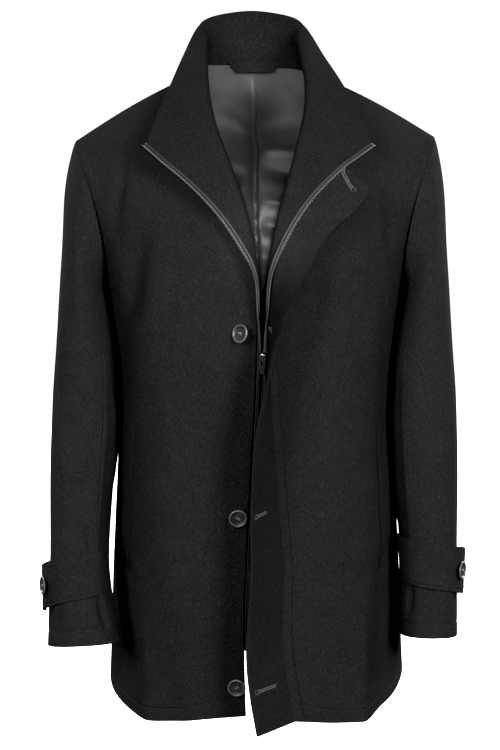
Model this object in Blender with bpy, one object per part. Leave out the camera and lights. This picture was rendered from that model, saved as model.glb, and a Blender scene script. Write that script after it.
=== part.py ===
"""Car coat, worn form with no wearer: a hollow wool body, two-piece sleeves, folded collar, zip and placket.

Metres, +Z up. The front faces -Y, the wearer's left is +X, and the origin lies between the neck points.
Each cloth piece is a thin closed wall on a lofted surface. Surfaces are the cloth's outer face, so a wall
grows inwards from them, and what lies on a panel is made from the panel's points, moved out.
"""

import math
from collections import namedtuple

import bpy
import numpy as np

for old in list(bpy.data.objects):
    bpy.data.objects.remove(old, do_unlink=True)

# Driving sizes
HEM = -0.842  # hem, below the neck points
UNDERARM = -0.2756  # underarm point
BREAK = -0.338  # top zip slider, where the fronts start to fold back
GORGE = -0.088  # roll line's height at the seam between lapel and collar
WOOL = 0.0022
FACING = 0.0018
COLLAR = 0.0040
LINING = 0.0010
GAP = 0.0003
FOLD_RADIUS = 0.004  # of the front's outer face where the lapel turns
COLLAR_RADIUS = 0.0085  # of the collar's neck side where it turns
LAPEL_BED = 0.025  # the lapel's fold starts this far outside the roll line
ZIP_HALF = 0.00605  # one half of the zip, tape and teeth
ZIP_THICK = 0.0016
EDGE_FROM_ZIP = ZIP_HALF + 2 * GAP + 0.00025  # cloth edge to the closed zip's middle
ZIP_END = -0.754
LOWER_SLIDER = -0.7186
NECK_POINT = (0.079, 0.012, 0.018)
NECK_BACK = (0.072, 0.028)  # depth and height of the back neck seam's middle
BUTTON_RADIUS = 0.0125
BUTTON_THICK = 0.0040

# Level 0 is the hem, 1 the underarm, 1.5 the gorge and 2 the shoulder seam.
LEVEL_GORGE = 1.5

Body = namedtuple("Body", "height half_width front back square_front square_back seam")
BODY = [
    Body(HEM, 0.2090, 0.1570, 0.1420, 2.85, 2.5, 0.040),
    Body(-0.666, 0.2020, 0.1510, 0.1320, 2.85, 2.5, 0.025),
    Body(-0.550, 0.1940, 0.1480, 0.1220, 2.8, 2.5, 0.014),
    Body(-0.450, 0.1890, 0.1485, 0.1180, 2.7, 2.4, 0.006),
    Body(-0.360, 0.1908, 0.1510, 0.1240, 2.6, 2.4, 0.002),
    Body(UNDERARM, 0.1994, 0.1480, 0.1340, 2.5, 2.4, 0.000),
]

# The wearer's right front sinks behind the left one towards the hem
RECESS = {-1: 0.014, 1: 0.0}
RECESS_FROM = -0.550

# Middle of the front opening, which drifts to the wearer's left at the chest
Middle = namedtuple("Middle", "height shift")
MIDDLE = [
    Middle(HEM, -0.0090),
    Middle(LOWER_SLIDER, -0.0070),
    Middle(-0.560, -0.0010),
    Middle(-0.430, 0.0060),
    Middle(BREAK, 0.0097),
    Middle(-0.210, 0.0107),
    Middle(-0.140, 0.0100),
    Middle(GORGE, 0.0080),
    Middle(0.000, 0.0025),
    Middle(0.080, 0.0000),
]

PARTING = 0.022  # the wearer's left front swings this far aside at the hem, below the lower slider

# How far each front's hem hangs below the level hem, by the distance from the middle
Drop = namedtuple("Drop", "out fall")
HEM_DROP = {
    -1: [Drop(0.00, -0.001), Drop(0.06, 0.004), Drop(0.11, 0.009), Drop(0.16, 0.006), Drop(0.206, -0.006)],
    1: [Drop(0.00, 0.000), Drop(0.06, 0.002), Drop(0.11, 0.004), Drop(0.16, 0.002), Drop(0.206, -0.012)],
}
HEM_DROP_FROM = -0.60

# Roll line and cloth edge of a folded front, from the middle of the opening outwards
Lapel = namedtuple("Lapel", "height roll bed depth edge edge_shift edge_depth edge_drop")
LAPEL = [
    Lapel(BREAK, 0.0095, 0.1505, 0.1505, EDGE_FROM_ZIP, 0.0, 0.1505, 0.000),
    Lapel(-0.310, 0.0092, 0.1490, 0.1510, 0.0092, 0.0, 0.1570, 0.000),
    Lapel(UNDERARM, 0.0082, 0.1460, 0.1510, 0.0092, 0.0, 0.1610, 0.000),
    Lapel(-0.245, 0.0095, 0.1440, 0.1510, 0.0110, 0.0, 0.1610, 0.000),
    Lapel(-0.210, 0.0135, 0.1420, 0.1490, 0.0200, -0.001, 0.1575, 0.002),
    Lapel(-0.175, 0.0205, 0.1370, 0.1440, 0.0375, -0.003, 0.1530, 0.004),
    Lapel(-0.140, 0.0300, 0.1270, 0.1340, 0.0615, -0.005, 0.1450, 0.006),
    Lapel(-0.115, 0.0380, 0.1160, 0.1230, 0.0845, -0.006, 0.1350, 0.008),
    Lapel(GORGE, 0.0470, 0.1040, 0.1110, 0.1130, -0.006, 0.1220, 0.011),
]

# Neck seam of a front, from the gorge to the neck point
Neckline = namedtuple("Neckline", "along out shift depth height")
NECKLINE = [
    Neckline(0.00, LAPEL[-1].roll + LAPEL_BED, 0.0080, 0.1040, -0.0940),
    Neckline(0.30, 0.0740, 0.0060, 0.0780, -0.0660),
    Neckline(0.60, 0.0760, 0.0040, 0.0460, -0.0320),
    Neckline(0.85, 0.0780, 0.0010, 0.0140, -0.0020),
    Neckline(1.00, NECK_POINT[0], 0.0000, -NECK_POINT[1], NECK_POINT[2]),
]

# Collar sections from the tip of the collar round to the middle of the back, on the collar's neck side:
# neck seam, roll line and outer edge as distance from the middle, depth (+ to the front) and height
Collar = namedtuple("Collar", "seam roll edge shift")
COLLAR_SECTIONS = [
    Collar((0.070, 0.072, -0.060), (0.054, 0.088, -0.053), (0.146, 0.099, -0.073), 0.0055),
    Collar((0.072, 0.044, -0.029), (0.061, 0.062, -0.023), (0.132, 0.068, -0.036), 0.0045),
    Collar((0.074, 0.012, 0.001), (0.0645, 0.035, 0.008), (0.114, 0.028, 0.004), 0.0027),
    Collar((0.0747, -0.014, 0.0180), (0.0635, 0.005, 0.041), (0.096, -0.008, 0.039), -0.0012),
    Collar((0.0632, -0.042, 0.0238), (0.0630, -0.030, 0.079), (0.071, -0.034, 0.080), -0.0040),
    Collar((0.0405, -0.0598, 0.0264), (0.0480, -0.056, 0.095), (0.048, -0.056, 0.095), -0.0042),
    Collar((0.0000, -0.0698, 0.0277), (0.0000, -0.074, 0.102), (0.000, -0.074, 0.102), -0.0040),
]
COLLAR_FOLDED = (1.0, 1.0, 1.0, 1.0, 0.6, 0.0, 0.0)  # how far each section is folded over

# Fullness of a front's rows at the armhole end and at the opening end
Row = namedtuple("Row", "level at_edge at_middle")
FRONT_ROWS = [
    Row(1.0, 2.5, 2.5),
    Row(1.15, 2.1, 2.3),
    Row(1.5, 1.5, 2.1),
    Row(1.8, 1.2, 1.6),
    Row(2.0, 1.0, 1.0),
]
Rise = namedtuple("Rise", "level depth height")
BACK_ROWS = [
    Rise(1.0, 0.134, UNDERARM),
    Rise(1.25, 0.138, -0.200),
    Rise(1.5, 0.136, -0.125),
    Rise(1.75, 0.119, -0.050),
    Rise(2.0, *NECK_BACK),
]

# Armhole: a leaning oval through the shoulder point, the chest, the underarm and the blade
ARMHOLE_MIDDLE = (0.2215, 0.0, -0.175)
ARMHOLE_REACH = 0.103
SHOULDER_RAISED = {-1: 0.000, 1: 0.006}
ARMHOLE_DEPTH = 0.062
ARMHOLE_TILT = math.radians(77.6)
SHOULDER_ROUND = 0.005
ARMHOLE_SCOOP = (0.013, 0.006)  # hollowed inwards at the front and at the back

# Sleeve rings below the armhole: middle, half sizes, tilt and forward lean in degrees, squareness
Ring = namedtuple("Ring", "out forward height reach depth tilt lean square")
SLEEVE_TOP = [
    Ring(0.2294, 0.001, -0.2060, 0.0815, 0.0660, 69.4, 0, 2.0),
    Ring(0.2310, 0.003, -0.2475, 0.0546, 0.0700, 56.0, 0, 2.1),
    Ring(0.2325, 0.008, -0.2975, 0.0434, 0.0720, 38.6, 3, 2.3),
    Ring(0.2318, 0.016, -0.3575, 0.0415, 0.0710, 18.4, 6, 2.5),
    Ring(0.2333, 0.030, -0.4300, 0.0437, 0.0680, 4.0, 9, 2.7),
]
SLEEVE_END = {
    -1: [
        Ring(0.2369, 0.055, -0.5300, 0.0424, 0.0630, 0.0, 13, 2.8),
        Ring(0.2387, 0.088, -0.6300, 0.0389, 0.0570, 0.0, 15, 2.8),
        Ring(0.2309, 0.126, -0.7420, 0.0487, 0.0520, -3.0, 14, 2.4),
    ],
    1: [
        Ring(0.2366, 0.048, -0.5300, 0.0425, 0.0640, 0.0, 10, 2.8),
        Ring(0.2395, 0.068, -0.6300, 0.0383, 0.0590, 0.0, 11, 2.8),
        Ring(0.2407, 0.090, -0.7410, 0.0377, 0.0560, 0.0, 11, 2.6),
    ],
}
TOP_SLEEVE = (-80, 125)  # degrees round the sleeve from its outer side, forwards
UNDER_SLEEVE = (125, 280)

# Placket on the wearer's left front: where it leaves the front, how it stands and how far it reaches
Placket = namedtuple("Placket", "level root turn reach drop")
PLACKET = [
    Placket(0.00, 0.0390, 38, 0.077, 0.004),
    Placket(0.31, 0.0455, 48, 0.077, 0.000),
    Placket(0.54, 0.0305, 60, 0.077, 0.000),
    Placket(0.72, 0.0170, 71, 0.077, 0.000),
    Placket(0.80, 0.0110, 82, 0.075, 0.000),
    Placket(0.889, 0.0070, 93, 0.070, 0.000),
    Placket(0.945, 0.0065, 102, 0.064, 0.000),
    Placket(1.00, 0.0065, 114, 0.058, 0.000),
    Placket(1.10, 0.0080, 140, 0.053, 0.000),
    Placket(1.22, 0.0090, 172, 0.058, 0.000),
    Placket(1.36, 0.0090, 173, 0.073, 0.005),
    Placket(1.42, 0.0090, 175, 0.064, 0.013),
    Placket(1.49, 0.0090, 177, 0.044, 0.029),
]

# Main soft folds, as ridges (+) or troughs (-) that fade at both ends: outward place and height of each end
Fold = namedtuple("Fold", "out_top top out_low low width size")
FRONT_FOLDS = {
    -1: [
        Fold(0.150, -0.660, 0.146, -0.880, 0.016, 0.0050),
        Fold(0.176, -0.130, 0.150, -0.330, 0.016, -0.0040),
        Fold(0.120, -0.420, 0.105, -0.760, 0.030, 0.0040),
    ],
    1: [
        Fold(0.100, -0.500, 0.118, -0.880, 0.034, 0.0040),
        Fold(0.176, -0.130, 0.150, -0.330, 0.016, -0.0040),
        Fold(0.060, -0.640, 0.072, -0.900, 0.022, -0.0040),
    ],
}
BACK_FOLDS = [
    Fold(-0.095, -0.420, -0.110, -0.900, 0.028, -0.0050),
    Fold(0.085, -0.380, 0.100, -0.900, 0.030, -0.0050),
    Fold(0.000, -0.520, 0.004, -0.900, 0.034, 0.0050),
]

WOOL_COLOUR = (0.021, 0.019, 0.020, 1.0)
LINING_COLOUR = (0.075, 0.075, 0.077, 1.0)
TAPE_COLOUR = (0.085, 0.085, 0.087, 1.0)
METAL_COLOUR = (0.42, 0.41, 0.40, 1.0)
HORN_COLOUR = (0.012, 0.012, 0.013, 1.0)


# Small tools for curves and surfaces
def spline(places, values, at):
    """A smooth curve through the values that never overshoots them, read at one or more places."""
    x = np.asarray(places, float)
    y = np.asarray(values, float)
    at = np.asarray(at, float)
    step = np.diff(x)
    rise = np.diff(y) / step
    slope = np.zeros_like(y)
    steady = rise[1:] * rise[:-1] > 0
    inner = np.zeros(len(y) - 2)
    inner[steady] = 2 * rise[1:][steady] * rise[:-1][steady] / (rise[1:] + rise[:-1])[steady]
    slope[1:-1] = inner
    slope[0] = rise[0]
    slope[-1] = rise[-1]
    i = np.clip(np.searchsorted(x, at) - 1, 0, len(x) - 2)
    t = np.clip((at - x[i]) / step[i], 0.0, 1.0)
    value = y[i] * (1 + 2 * t) * (1 - t) ** 2 + y[i + 1] * t**2 * (3 - 2 * t)
    return value + step[i] * (slope[i] * t * (1 - t) ** 2 - slope[i + 1] * t**2 * (1 - t))


def look_up(table, column, at):
    return spline([row[0] for row in table], [getattr(row, column) for row in table], at)


def ease(t):
    t = np.clip(t, 0.0, 1.0)
    return t * t * (3 - 2 * t)


def unit(v):
    v = np.asarray(v, float)
    return v / np.linalg.norm(v)


def spaced(path, count, start=0.0, stop=None):
    """Points at equal steps along a path, from start to stop in metres."""
    path = np.asarray(path, float)
    along = np.concatenate([[0.0], np.cumsum(np.linalg.norm(np.diff(path, axis=0), axis=1))])
    where = np.linspace(start, along[-1] if stop is None else stop, count)
    return np.stack([np.interp(where, along, path[:, k]) for k in range(3)], axis=1)


def loft(sections, places, at):
    """A surface through sections with the same number of points, read at the given places."""
    sections = np.asarray(sections, float)
    flat = sections.reshape(len(sections), -1)
    return np.stack([spline(places, flat[:, k], at) for k in range(flat.shape[1])], axis=1).reshape(
        len(at), *sections.shape[1:]
    )


ROLL_POINTS = 6
FLAP_STEPS = 3
FLAT_SHARES = np.array([0.0, 0.30, 0.37, 0.44, 0.51, 0.58, 0.65, 0.77, 0.88, 1.0])  # of an unfolded row


def over_roll(start, roll, end, radius):
    """Points from start over a rounded fold to end, in the plane of the three points."""
    start, roll, end = (np.asarray(p, float) for p in (start, roll, end))
    up = unit(roll - (start + end) / 2)
    across = end - start
    across = unit(across - up * across.dot(up))
    centre = roll - radius * up
    s = np.array([(start - centre).dot(across), (start - centre).dot(up)])
    e = np.array([(end - centre).dot(across), (end - centre).dot(up)])
    leave = math.atan2(s[1], s[0]) % (2 * math.pi) - math.acos(min(1.0, radius / np.hypot(*s)))
    arrive = math.atan2(e[1], e[0]) + math.acos(min(1.0, radius / np.hypot(*e)))
    turn = np.linspace(leave, max(arrive, leave - math.pi), ROLL_POINTS)
    arc = centre + radius * (np.outer(np.cos(turn), across) + np.outer(np.sin(turn), up))
    return np.concatenate([[start], arc, spaced([arc[-1], end], FLAP_STEPS + 1)[1:]])


def unfolded(start, end):
    return start + np.outer(FLAT_SHARES, end - start)


# Building solids and materials
def material(name, colour, roughness, metallic=0.0):
    made = bpy.data.materials.new(name)
    made.use_nodes = True
    shader = made.node_tree.nodes["Principled BSDF"]
    shader.inputs["Base Color"].default_value = colour
    shader.inputs["Roughness"].default_value = roughness
    shader.inputs["Metallic"].default_value = metallic
    return made


wool = material("charcoal_wool", WOOL_COLOUR, 0.92)
satin = material("grey_satin", LINING_COLOUR, 0.45)
tape = material("zip_tape", TAPE_COLOUR, 0.6)
metal = material("slider_metal", METAL_COLOUR, 0.35, 1.0)
horn = material("button_resin", HORN_COLOUR, 0.25)


def solid(name, points, faces, finish):
    mesh = bpy.data.meshes.new(name)
    mesh.from_pydata([tuple(p) for p in points], [], [tuple(f) for f in faces])
    mesh.materials.append(finish)
    mesh.update()
    made = bpy.data.objects.new(name, mesh)
    bpy.context.scene.collection.objects.link(made)
    return made


def quads_of(rows, columns, keep=None):
    """Faces of a grid of points, leaving out the cells that keep refuses."""
    faces = []
    for r in range(rows - 1):
        for c in range(columns - 1):
            if keep is None or keep(r, c):
                a = r * columns + c
                faces.append((a, a + 1, a + columns + 1, a + columns))
    return faces


def halves(faces):
    """Both triangles of each four-sided face."""
    return [half for a, b, c, d in faces for half in ((a, b, c), (a, c, d))]


def outward(grid, keep=None, flip=False):
    """Outward normals at the points of a grid."""
    flat = grid.reshape(-1, 3)
    push = np.zeros_like(flat)
    for face in quads_of(*grid.shape[:2], keep):
        a, b, c, d = (flat[i] for i in face)
        push[list(face)] += np.cross(c - a, d - b)
    size = np.linalg.norm(push, axis=1, keepdims=True)
    size[size == 0] = 1.0
    return ((-push if flip else push) / size).reshape(grid.shape)


def rim_of(faces):
    """Edges of the faces that no second face shares."""
    edges = {(a, b) for face in faces for a, b in zip(face, face[1:] + face[:1])}
    return [(a, b) for a, b in edges if (b, a) not in edges]


def wall(name, grid, normals, finish, near, far, keep=None, flip=False):
    """A closed wall between two distances from a surface, measured along its outward normals."""
    rows, columns = grid.shape[:2]
    points = grid.reshape(-1, 3)
    normals = normals.reshape(-1, 3)
    faces = quads_of(rows, columns, keep)
    used = sorted({i for face in faces for i in face})
    place = {old_index: new for new, old_index in enumerate(used)}
    faces = halves([tuple(place[i] for i in face) for face in faces])
    if flip:
        faces = [face[::-1] for face in faces]
    shift = len(used)
    skins = faces + [tuple(i + shift for i in face[::-1]) for face in faces]
    sides = halves([(b, a, a + shift, b + shift) for a, b in rim_of(faces)])
    skin_points = [points[used] + distance * normals[used] for distance in (near, far)]
    return solid(name, np.concatenate(skin_points), skins + sides, finish)


def mitre(panels):
    """Share the normals of panels that meet at a seam, so that their edges end face to face."""
    rims = {}
    for name, (grid, normals, keep) in panels.items():
        edges = rim_of(quads_of(*grid.shape[:2], keep))
        rims[name] = (np.array(edges), grid.reshape(-1, 3), normals.reshape(-1, 3))
    shared = {}
    for name, (edges, points, normals) in rims.items():
        mixed = normals.copy()
        for i in np.unique(edges):
            for other, (far_edges, far_points, far_normals) in rims.items():
                if other == name:
                    continue
                a = far_points[far_edges[:, 0]]
                along = far_points[far_edges[:, 1]] - a
                share = ((points[i] - a) * along).sum(1) / np.maximum((along**2).sum(1), 1e-12)
                share = np.clip(share, 0.0, 1.0)[:, None]
                distance = np.linalg.norm(a + share * along - points[i], axis=1)
                k = int(distance.argmin())
                start, stop = far_normals[far_edges[k]]
                beyond = start + share[k] * (stop - start)
                if distance[k] < SEAM_REACH and beyond.dot(normals[i]) > 0:
                    mixed[i] += beyond
        size = np.maximum(np.linalg.norm(mixed, axis=1, keepdims=True), 1e-9)
        shared[name] = (mixed / size).reshape(panels[name][1].shape)
    return shared


# Body: where the side seam, the armhole and the opening lie
def middle_at(side, height):
    """Where a front's half of the closed zip would end."""
    parted = ease((LOWER_SLIDER - height) / (LOWER_SLIDER - HEM)) if side > 0 else 0.0
    return float(look_up(MIDDLE, "shift", height)) + PARTING * float(parted)


def height_of(level):
    """Height of a front's row at the opening."""
    if level <= 1:
        return HEM + level * (UNDERARM - HEM)
    return UNDERARM + (level - 1) / (LEVEL_GORGE - 1) * (GORGE - UNDERARM)


def side_seam(side, height):
    out = float(look_up(BODY, "half_width", height))
    deep = float(look_up(BODY, "seam", height))
    return np.array([side * out, deep, height])


def armhole(side, degrees):
    """A point of the armhole: 0 is the shoulder point, 90 the chest, 180 the underarm, 270 the blade."""
    turn = math.radians(degrees)
    along = ARMHOLE_REACH * math.cos(turn) + SHOULDER_RAISED[side] * max(0.0, math.cos(turn))
    scoop = ARMHOLE_SCOOP[0 if math.sin(turn) > 0 else 1] * math.sin(turn) ** 2
    x = ARMHOLE_MIDDLE[0] + along * math.cos(ARMHOLE_TILT) - scoop
    y = ARMHOLE_MIDDLE[1] - ARMHOLE_DEPTH * math.sin(turn)
    z = ARMHOLE_MIDDLE[2] + along * math.sin(ARMHOLE_TILT)
    return np.array([side * x, y, z])


def bulge(start, stop, at_edge, at_middle, count):
    """A row that leaves start round a corner and reaches stop flat, in plan a part of a squared oval."""
    t = np.linspace(0.0, math.pi / 2, 160)
    c = np.cos(t) ** (2 / at_middle)
    s = np.sin(t) ** (2 / at_edge)
    c[-1] = 0.0
    x = stop[0] + (start[0] - stop[0]) * c
    y = start[1] + (stop[1] - start[1]) * s
    z = stop[2] + (start[2] - stop[2]) * c
    return spaced(np.stack([x, y, z], axis=1), count)


def lapel_at(side, level):
    """Bed, roll and edge points of a folded front at a level."""
    height = height_of(level)
    value = {name: float(look_up(LAPEL, name, height)) for name in Lapel._fields}
    shift = middle_at(side, height)
    bed = (shift + side * (value["roll"] + LAPEL_BED), -value["bed"], height - 0.25 * value["edge_drop"])
    roll = (shift + side * value["roll"], -value["depth"], height)
    out = shift + value["edge_shift"] + side * value["edge"]
    edge = (out, -value["edge_depth"], height - value["edge_drop"])
    return np.array(bed), np.array(roll), np.array(edge)


def front_inner(side, level):
    """Where a front's row ends: at the lapel's bed, beside the zip or at the neck seam."""
    height = height_of(level)
    if level > LEVEL_GORGE:
        along = (level - LEVEL_GORGE) / (2 - LEVEL_GORGE)
        value = {name: float(look_up(NECKLINE, name, along)) for name in Neckline._fields}
        return np.array([value["shift"] + side * value["out"], -value["depth"], value["height"]])
    if height > BREAK:
        return lapel_at(side, level)[0]
    out = EDGE_FROM_ZIP + LAPEL_BED + 0.003
    sunk = RECESS[side] * float(ease((RECESS_FROM - height) / (RECESS_FROM - HEM)))
    deep = float(look_up(BODY, "front", height))
    return np.array([middle_at(side, height) + side * out, sunk - deep, height])


def front_row(side, level, count):
    """A row of a front from the side seam or armhole to the lapel's bed, or to the neck seam."""
    stop = front_inner(side, level)
    if level <= 1:
        height = height_of(level)
        start = side_seam(side, height)
        square = float(look_up(BODY, "square_front", height))
        return bulge(start, stop, square, square, count)
    start = armhole(side, 180 * (2 - level))
    at_edge = float(look_up(FRONT_ROWS, "at_edge", level))
    at_middle = float(look_up(FRONT_ROWS, "at_middle", level))
    return bulge(start, stop, at_edge, at_middle, count)


def front_edge(side, level):
    """The rest of that row, from the lapel's bed to the cloth's edge, folded back above the break."""
    height = height_of(level)
    start = front_inner(side, level)
    straight = unfolded(start, np.array([middle_at(side, height) + side * EDGE_FROM_ZIP, start[1], start[2]]))
    if height <= BREAK:
        return straight
    folded = over_roll(*lapel_at(side, level), FOLD_RADIUS)
    share = ease((height - BREAK) / (UNDERARM - BREAK))
    return straight + share * (folded - straight)


def rounded_shoulder(grid, levels):
    """Raise the rows near the shoulder seam into a soft curve between neck and sleeve."""
    share = (np.abs(grid[..., 0]) - NECK_POINT[0]) / (ARMHOLE_MIDDLE[0] + 0.022 - NECK_POINT[0])
    near = ease((np.array(levels) - LEVEL_GORGE) / (2 - LEVEL_GORGE))
    grid[..., 2] += SHOULDER_ROUND * near[:, None] * np.sin(math.pi * np.clip(share, 0.0, 1.0))


def softened(grid, rounds):
    """The same grid with its inner points drawn towards their neighbours."""
    grid = grid.copy()
    for _ in range(rounds):
        beside = grid[:-2, 1:-1] + grid[2:, 1:-1] + grid[1:-1, :-2] + grid[1:-1, 2:]
        grid[1:-1, 1:-1] = (grid[1:-1, 1:-1] + beside / 4) / 2
    return grid


def add_folds(grid, folds, side, flip):
    """Push a grid's points along its normals by the main folds."""
    push = np.zeros(grid.shape[:2])
    for fold in folds:
        share = (fold.top - grid[..., 2]) / (fold.top - fold.low)
        out = fold.out_top + (fold.out_low - fold.out_top) * share
        fade = np.sin(np.pi * np.clip(share, 0.0, 1.0)) ** 0.8
        push += fold.size * fade * np.exp(-(((side * grid[..., 0] - out) / fold.width) ** 2))
    return grid + outward(grid, flip=flip) * push[..., None]


WELT_LEVELS = [0.374, 0.46, 0.54, 0.62, 0.70]
ZIP_LEVEL = (ZIP_END - HEM) / (UNDERARM - HEM)
FRONT_LEVELS = [0.0, ZIP_LEVEL, 0.25, *WELT_LEVELS, 0.80, 0.889, 0.917, 0.945, 0.972, 1.0, 1.05, 1.1]
FRONT_LEVELS += [1.17, 1.25, 1.33, 1.42, 1.5, 1.6, 1.7, 1.8, 1.9, 1.998]
FLAT_COLUMNS = 12
SOFT_ROUNDS = 4
GORGE_ROW = FRONT_LEVELS.index(LEVEL_GORGE)


def low_share(grid):
    """How much of the hem's drop reaches each point."""
    return np.clip((HEM_DROP_FROM - grid[..., 2]) / (HEM_DROP_FROM - HEM), 0.0, 1.0) ** 2


def front_grid(side):
    """All rows of a front. Above the gorge only the flat columns are cloth."""
    rows = []
    for level in FRONT_LEVELS:
        flat = front_row(side, level, FLAT_COLUMNS)
        edge = front_edge(side, min(level, LEVEL_GORGE))
        rows.append(np.concatenate([flat, edge[1:]]))
    grid = np.array(rows)
    rounded_shoulder(grid[:, :FLAT_COLUMNS], FRONT_LEVELS)
    grid[:, : FLAT_COLUMNS - 1] = softened(grid[:, : FLAT_COLUMNS - 1], SOFT_ROUNDS)
    flat = add_folds(grid[:, :FLAT_COLUMNS], FRONT_FOLDS[side], side, side > 0)
    fade = np.linspace(0.0, 1.0, FLAT_COLUMNS)[:, None]
    fade = 1 - ease((fade - 0.75) / 0.25)
    grid[:, :FLAT_COLUMNS] += (flat - grid[:, :FLAT_COLUMNS]) * fade
    grid[..., 2] -= low_share(grid) * look_up(HEM_DROP[side], "fall", np.abs(grid[..., 0]))
    return grid


def is_front(row, column):
    return row < GORGE_ROW or column < FLAT_COLUMNS - 1


side_name = {-1: "right", 1: "left"}
fronts = {side: front_grid(side) for side in (-1, 1)}


# Back: one panel from side seam to side seam, up to the shoulder seams and the back neck
def shoulder_and_neck(side, x):
    """The shoulder seam and back neck seam of one side at given distances from the middle."""
    shoulder = armhole(side, 0) * (side, 1, 1)
    neck = np.array(NECK_POINT)
    share = np.clip((x - neck[0]) / (shoulder[0] - neck[0]), 0.0, 1.0)
    seam = neck + share[:, None] * (shoulder - neck)
    turn = np.arccos(np.clip(x / neck[0], 0.0, 1.0))
    seam[:, 0] = side * x
    seam[:, 1] += (NECK_BACK[0] - neck[1]) * np.sin(turn)
    seam[:, 2] += (NECK_BACK[1] - neck[2]) * np.sin(turn)
    return seam


def back_half(side, level, count):
    """One half of a back row, from the side seam or armhole to the middle."""
    if level <= 1:
        height = height_of(level)
        start = side_seam(side, height)
        stop = np.array([0.0, float(look_up(BODY, "back", height)), height])
        square = float(look_up(BODY, "square_back", height))
        return bulge(start, stop, square, square, count)
    start = armhole(side, 360 - 180 * (2 - level))
    deep = float(look_up(BACK_ROWS, "depth", level))
    stop = np.array([0.0, deep, float(look_up(BACK_ROWS, "height", level))])
    full = 2.4 - 0.6 * ease(level - 1)
    row = bulge(start, stop, full, full, count)
    top_share = ease((level - 1.55) / 0.45) ** 1.5
    if top_share > 0:
        rise = bulge(armhole(side, 0), np.array([0.0, *NECK_BACK]), 1.8, 1.8, count)
        row = row + top_share * (shoulder_and_neck(side, np.abs(rise[:, 0])) - rise)
    return row


BACK_LEVELS = [0.0, 0.14, 0.28, 0.42, 0.56, 0.70, 0.84, 1.0]
BACK_LEVELS += [1.12, 1.24, 1.36, 1.5, 1.62, 1.74, 1.85, 1.93, 1.998]
BACK_COLUMNS = 12
SEAM_TRIM = 0.0004  # the back stops this far from the side seams


def back_grid():
    rows = []
    for level in BACK_LEVELS:
        left, right = (spaced(back_half(s, level, 3 * BACK_COLUMNS), BACK_COLUMNS, SEAM_TRIM) for s in (1, -1))
        rows.append(np.concatenate([left, right[::-1][1:]]))
    grid = np.array(rows)
    rounded_shoulder(grid, BACK_LEVELS)
    grid = add_folds(softened(grid, SOFT_ROUNDS), BACK_FOLDS, 1, False)
    fall = np.where(grid[..., 0] > 0, HEM_DROP[1][-1].fall, HEM_DROP[-1][-1].fall)
    grid[..., 2] -= low_share(grid) * fall * ease((np.abs(grid[..., 0]) - 0.10) / 0.10)
    return grid


back = back_grid()


# Sleeves: rings from the armhole to the cuff, cut into a top and an under sleeve
def ring_point(side, ring, degrees):
    turn = math.radians(degrees)
    c = math.copysign(abs(math.cos(turn)) ** (2 / ring.square), math.cos(turn))
    s = math.copysign(abs(math.sin(turn)) ** (2 / ring.square), math.sin(turn))
    tilt = math.radians(ring.tilt)
    lean = math.radians(ring.lean)
    x = ring.out + ring.reach * c * math.cos(tilt)
    y = -ring.forward - ring.depth * s * math.cos(lean)
    z = ring.height + ring.reach * c * math.sin(tilt) + ring.depth * s * math.sin(lean)
    return np.array([side * x, y, z])


def sleeve_sections(side, angles):
    """The armhole and every ring at the given angles, and each section's distance down the sleeve."""
    rings = SLEEVE_TOP + SLEEVE_END[side]
    sections = [[armhole(side, a) for a in angles]]
    sections += [[ring_point(side, ring, a) for a in angles] for ring in rings]
    middles = [np.array(ARMHOLE_MIDDLE)] + [np.array([r.out, -r.forward, r.height]) for r in rings]
    steps = [np.linalg.norm(b - a) for a, b in zip(middles, middles[1:])]
    return np.array(sections), np.concatenate([[0.0], np.cumsum(steps)])


SLEEVE_ROWS = 14
SLEEVE_TRIM = 0.0014  # the cap starts this far below the armhole seam
ANGLE_TRIM = 0.25  # degrees each side of the two long seams
TOP_COLUMNS = 12
UNDER_COLUMNS = 9
top_angles = np.linspace(TOP_SLEEVE[0] + ANGLE_TRIM, TOP_SLEEVE[1] - ANGLE_TRIM, TOP_COLUMNS)
under_angles = np.linspace(UNDER_SLEEVE[0] + ANGLE_TRIM, UNDER_SLEEVE[1] - ANGLE_TRIM, UNDER_COLUMNS)


def sleeve_grid(side, angles):
    sections, places = sleeve_sections(side, angles)
    return loft(sections, places, np.linspace(SLEEVE_TRIM, places[-1], SLEEVE_ROWS))


# Normals of all panels, shared where they meet at the side, shoulder and armhole seams
SEAM_REACH = 0.004
panels = {"back": (back, outward(back), None)}
for side in (-1, 1):
    grid = fronts[side]
    panels[f"front_{side_name[side]}"] = (grid, outward(grid, is_front, side > 0), is_front)
    for piece, angles in (("top", top_angles), ("under", under_angles)):
        grid = sleeve_grid(side, angles)
        panels[f"sleeve_{side_name[side]}_{piece}"] = (grid, outward(grid, flip=side < 0), None)
shared = mitre(panels)

wall("back", back, shared["back"], wool, 0.0, -WOOL)
for side in (-1, 1):
    name = side_name[side]
    wall(f"front_{name}", fronts[side], shared[f"front_{name}"], wool, 0.0, -WOOL, is_front, side > 0)
    for piece in (f"sleeve_{name}_top", f"sleeve_{name}_under"):
        wall(piece, panels[piece][0], shared[piece], wool, 0.0, -WOOL, flip=side < 0)

# Facings: the cloth that shows on the folded fronts, from the zip edge to a hand's width inside
FACING_FROM = FLAT_COLUMNS - 2
for side in (-1, 1):
    strip = fronts[side][: GORGE_ROW + 1, FACING_FROM:]
    normals = shared[f"front_{side_name[side]}"][: GORGE_ROW + 1, FACING_FROM:]
    near = -WOOL - 2 * GAP
    wall(f"facing_{side_name[side]}", strip, normals, wool, near, near - FACING, flip=side > 0)

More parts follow.
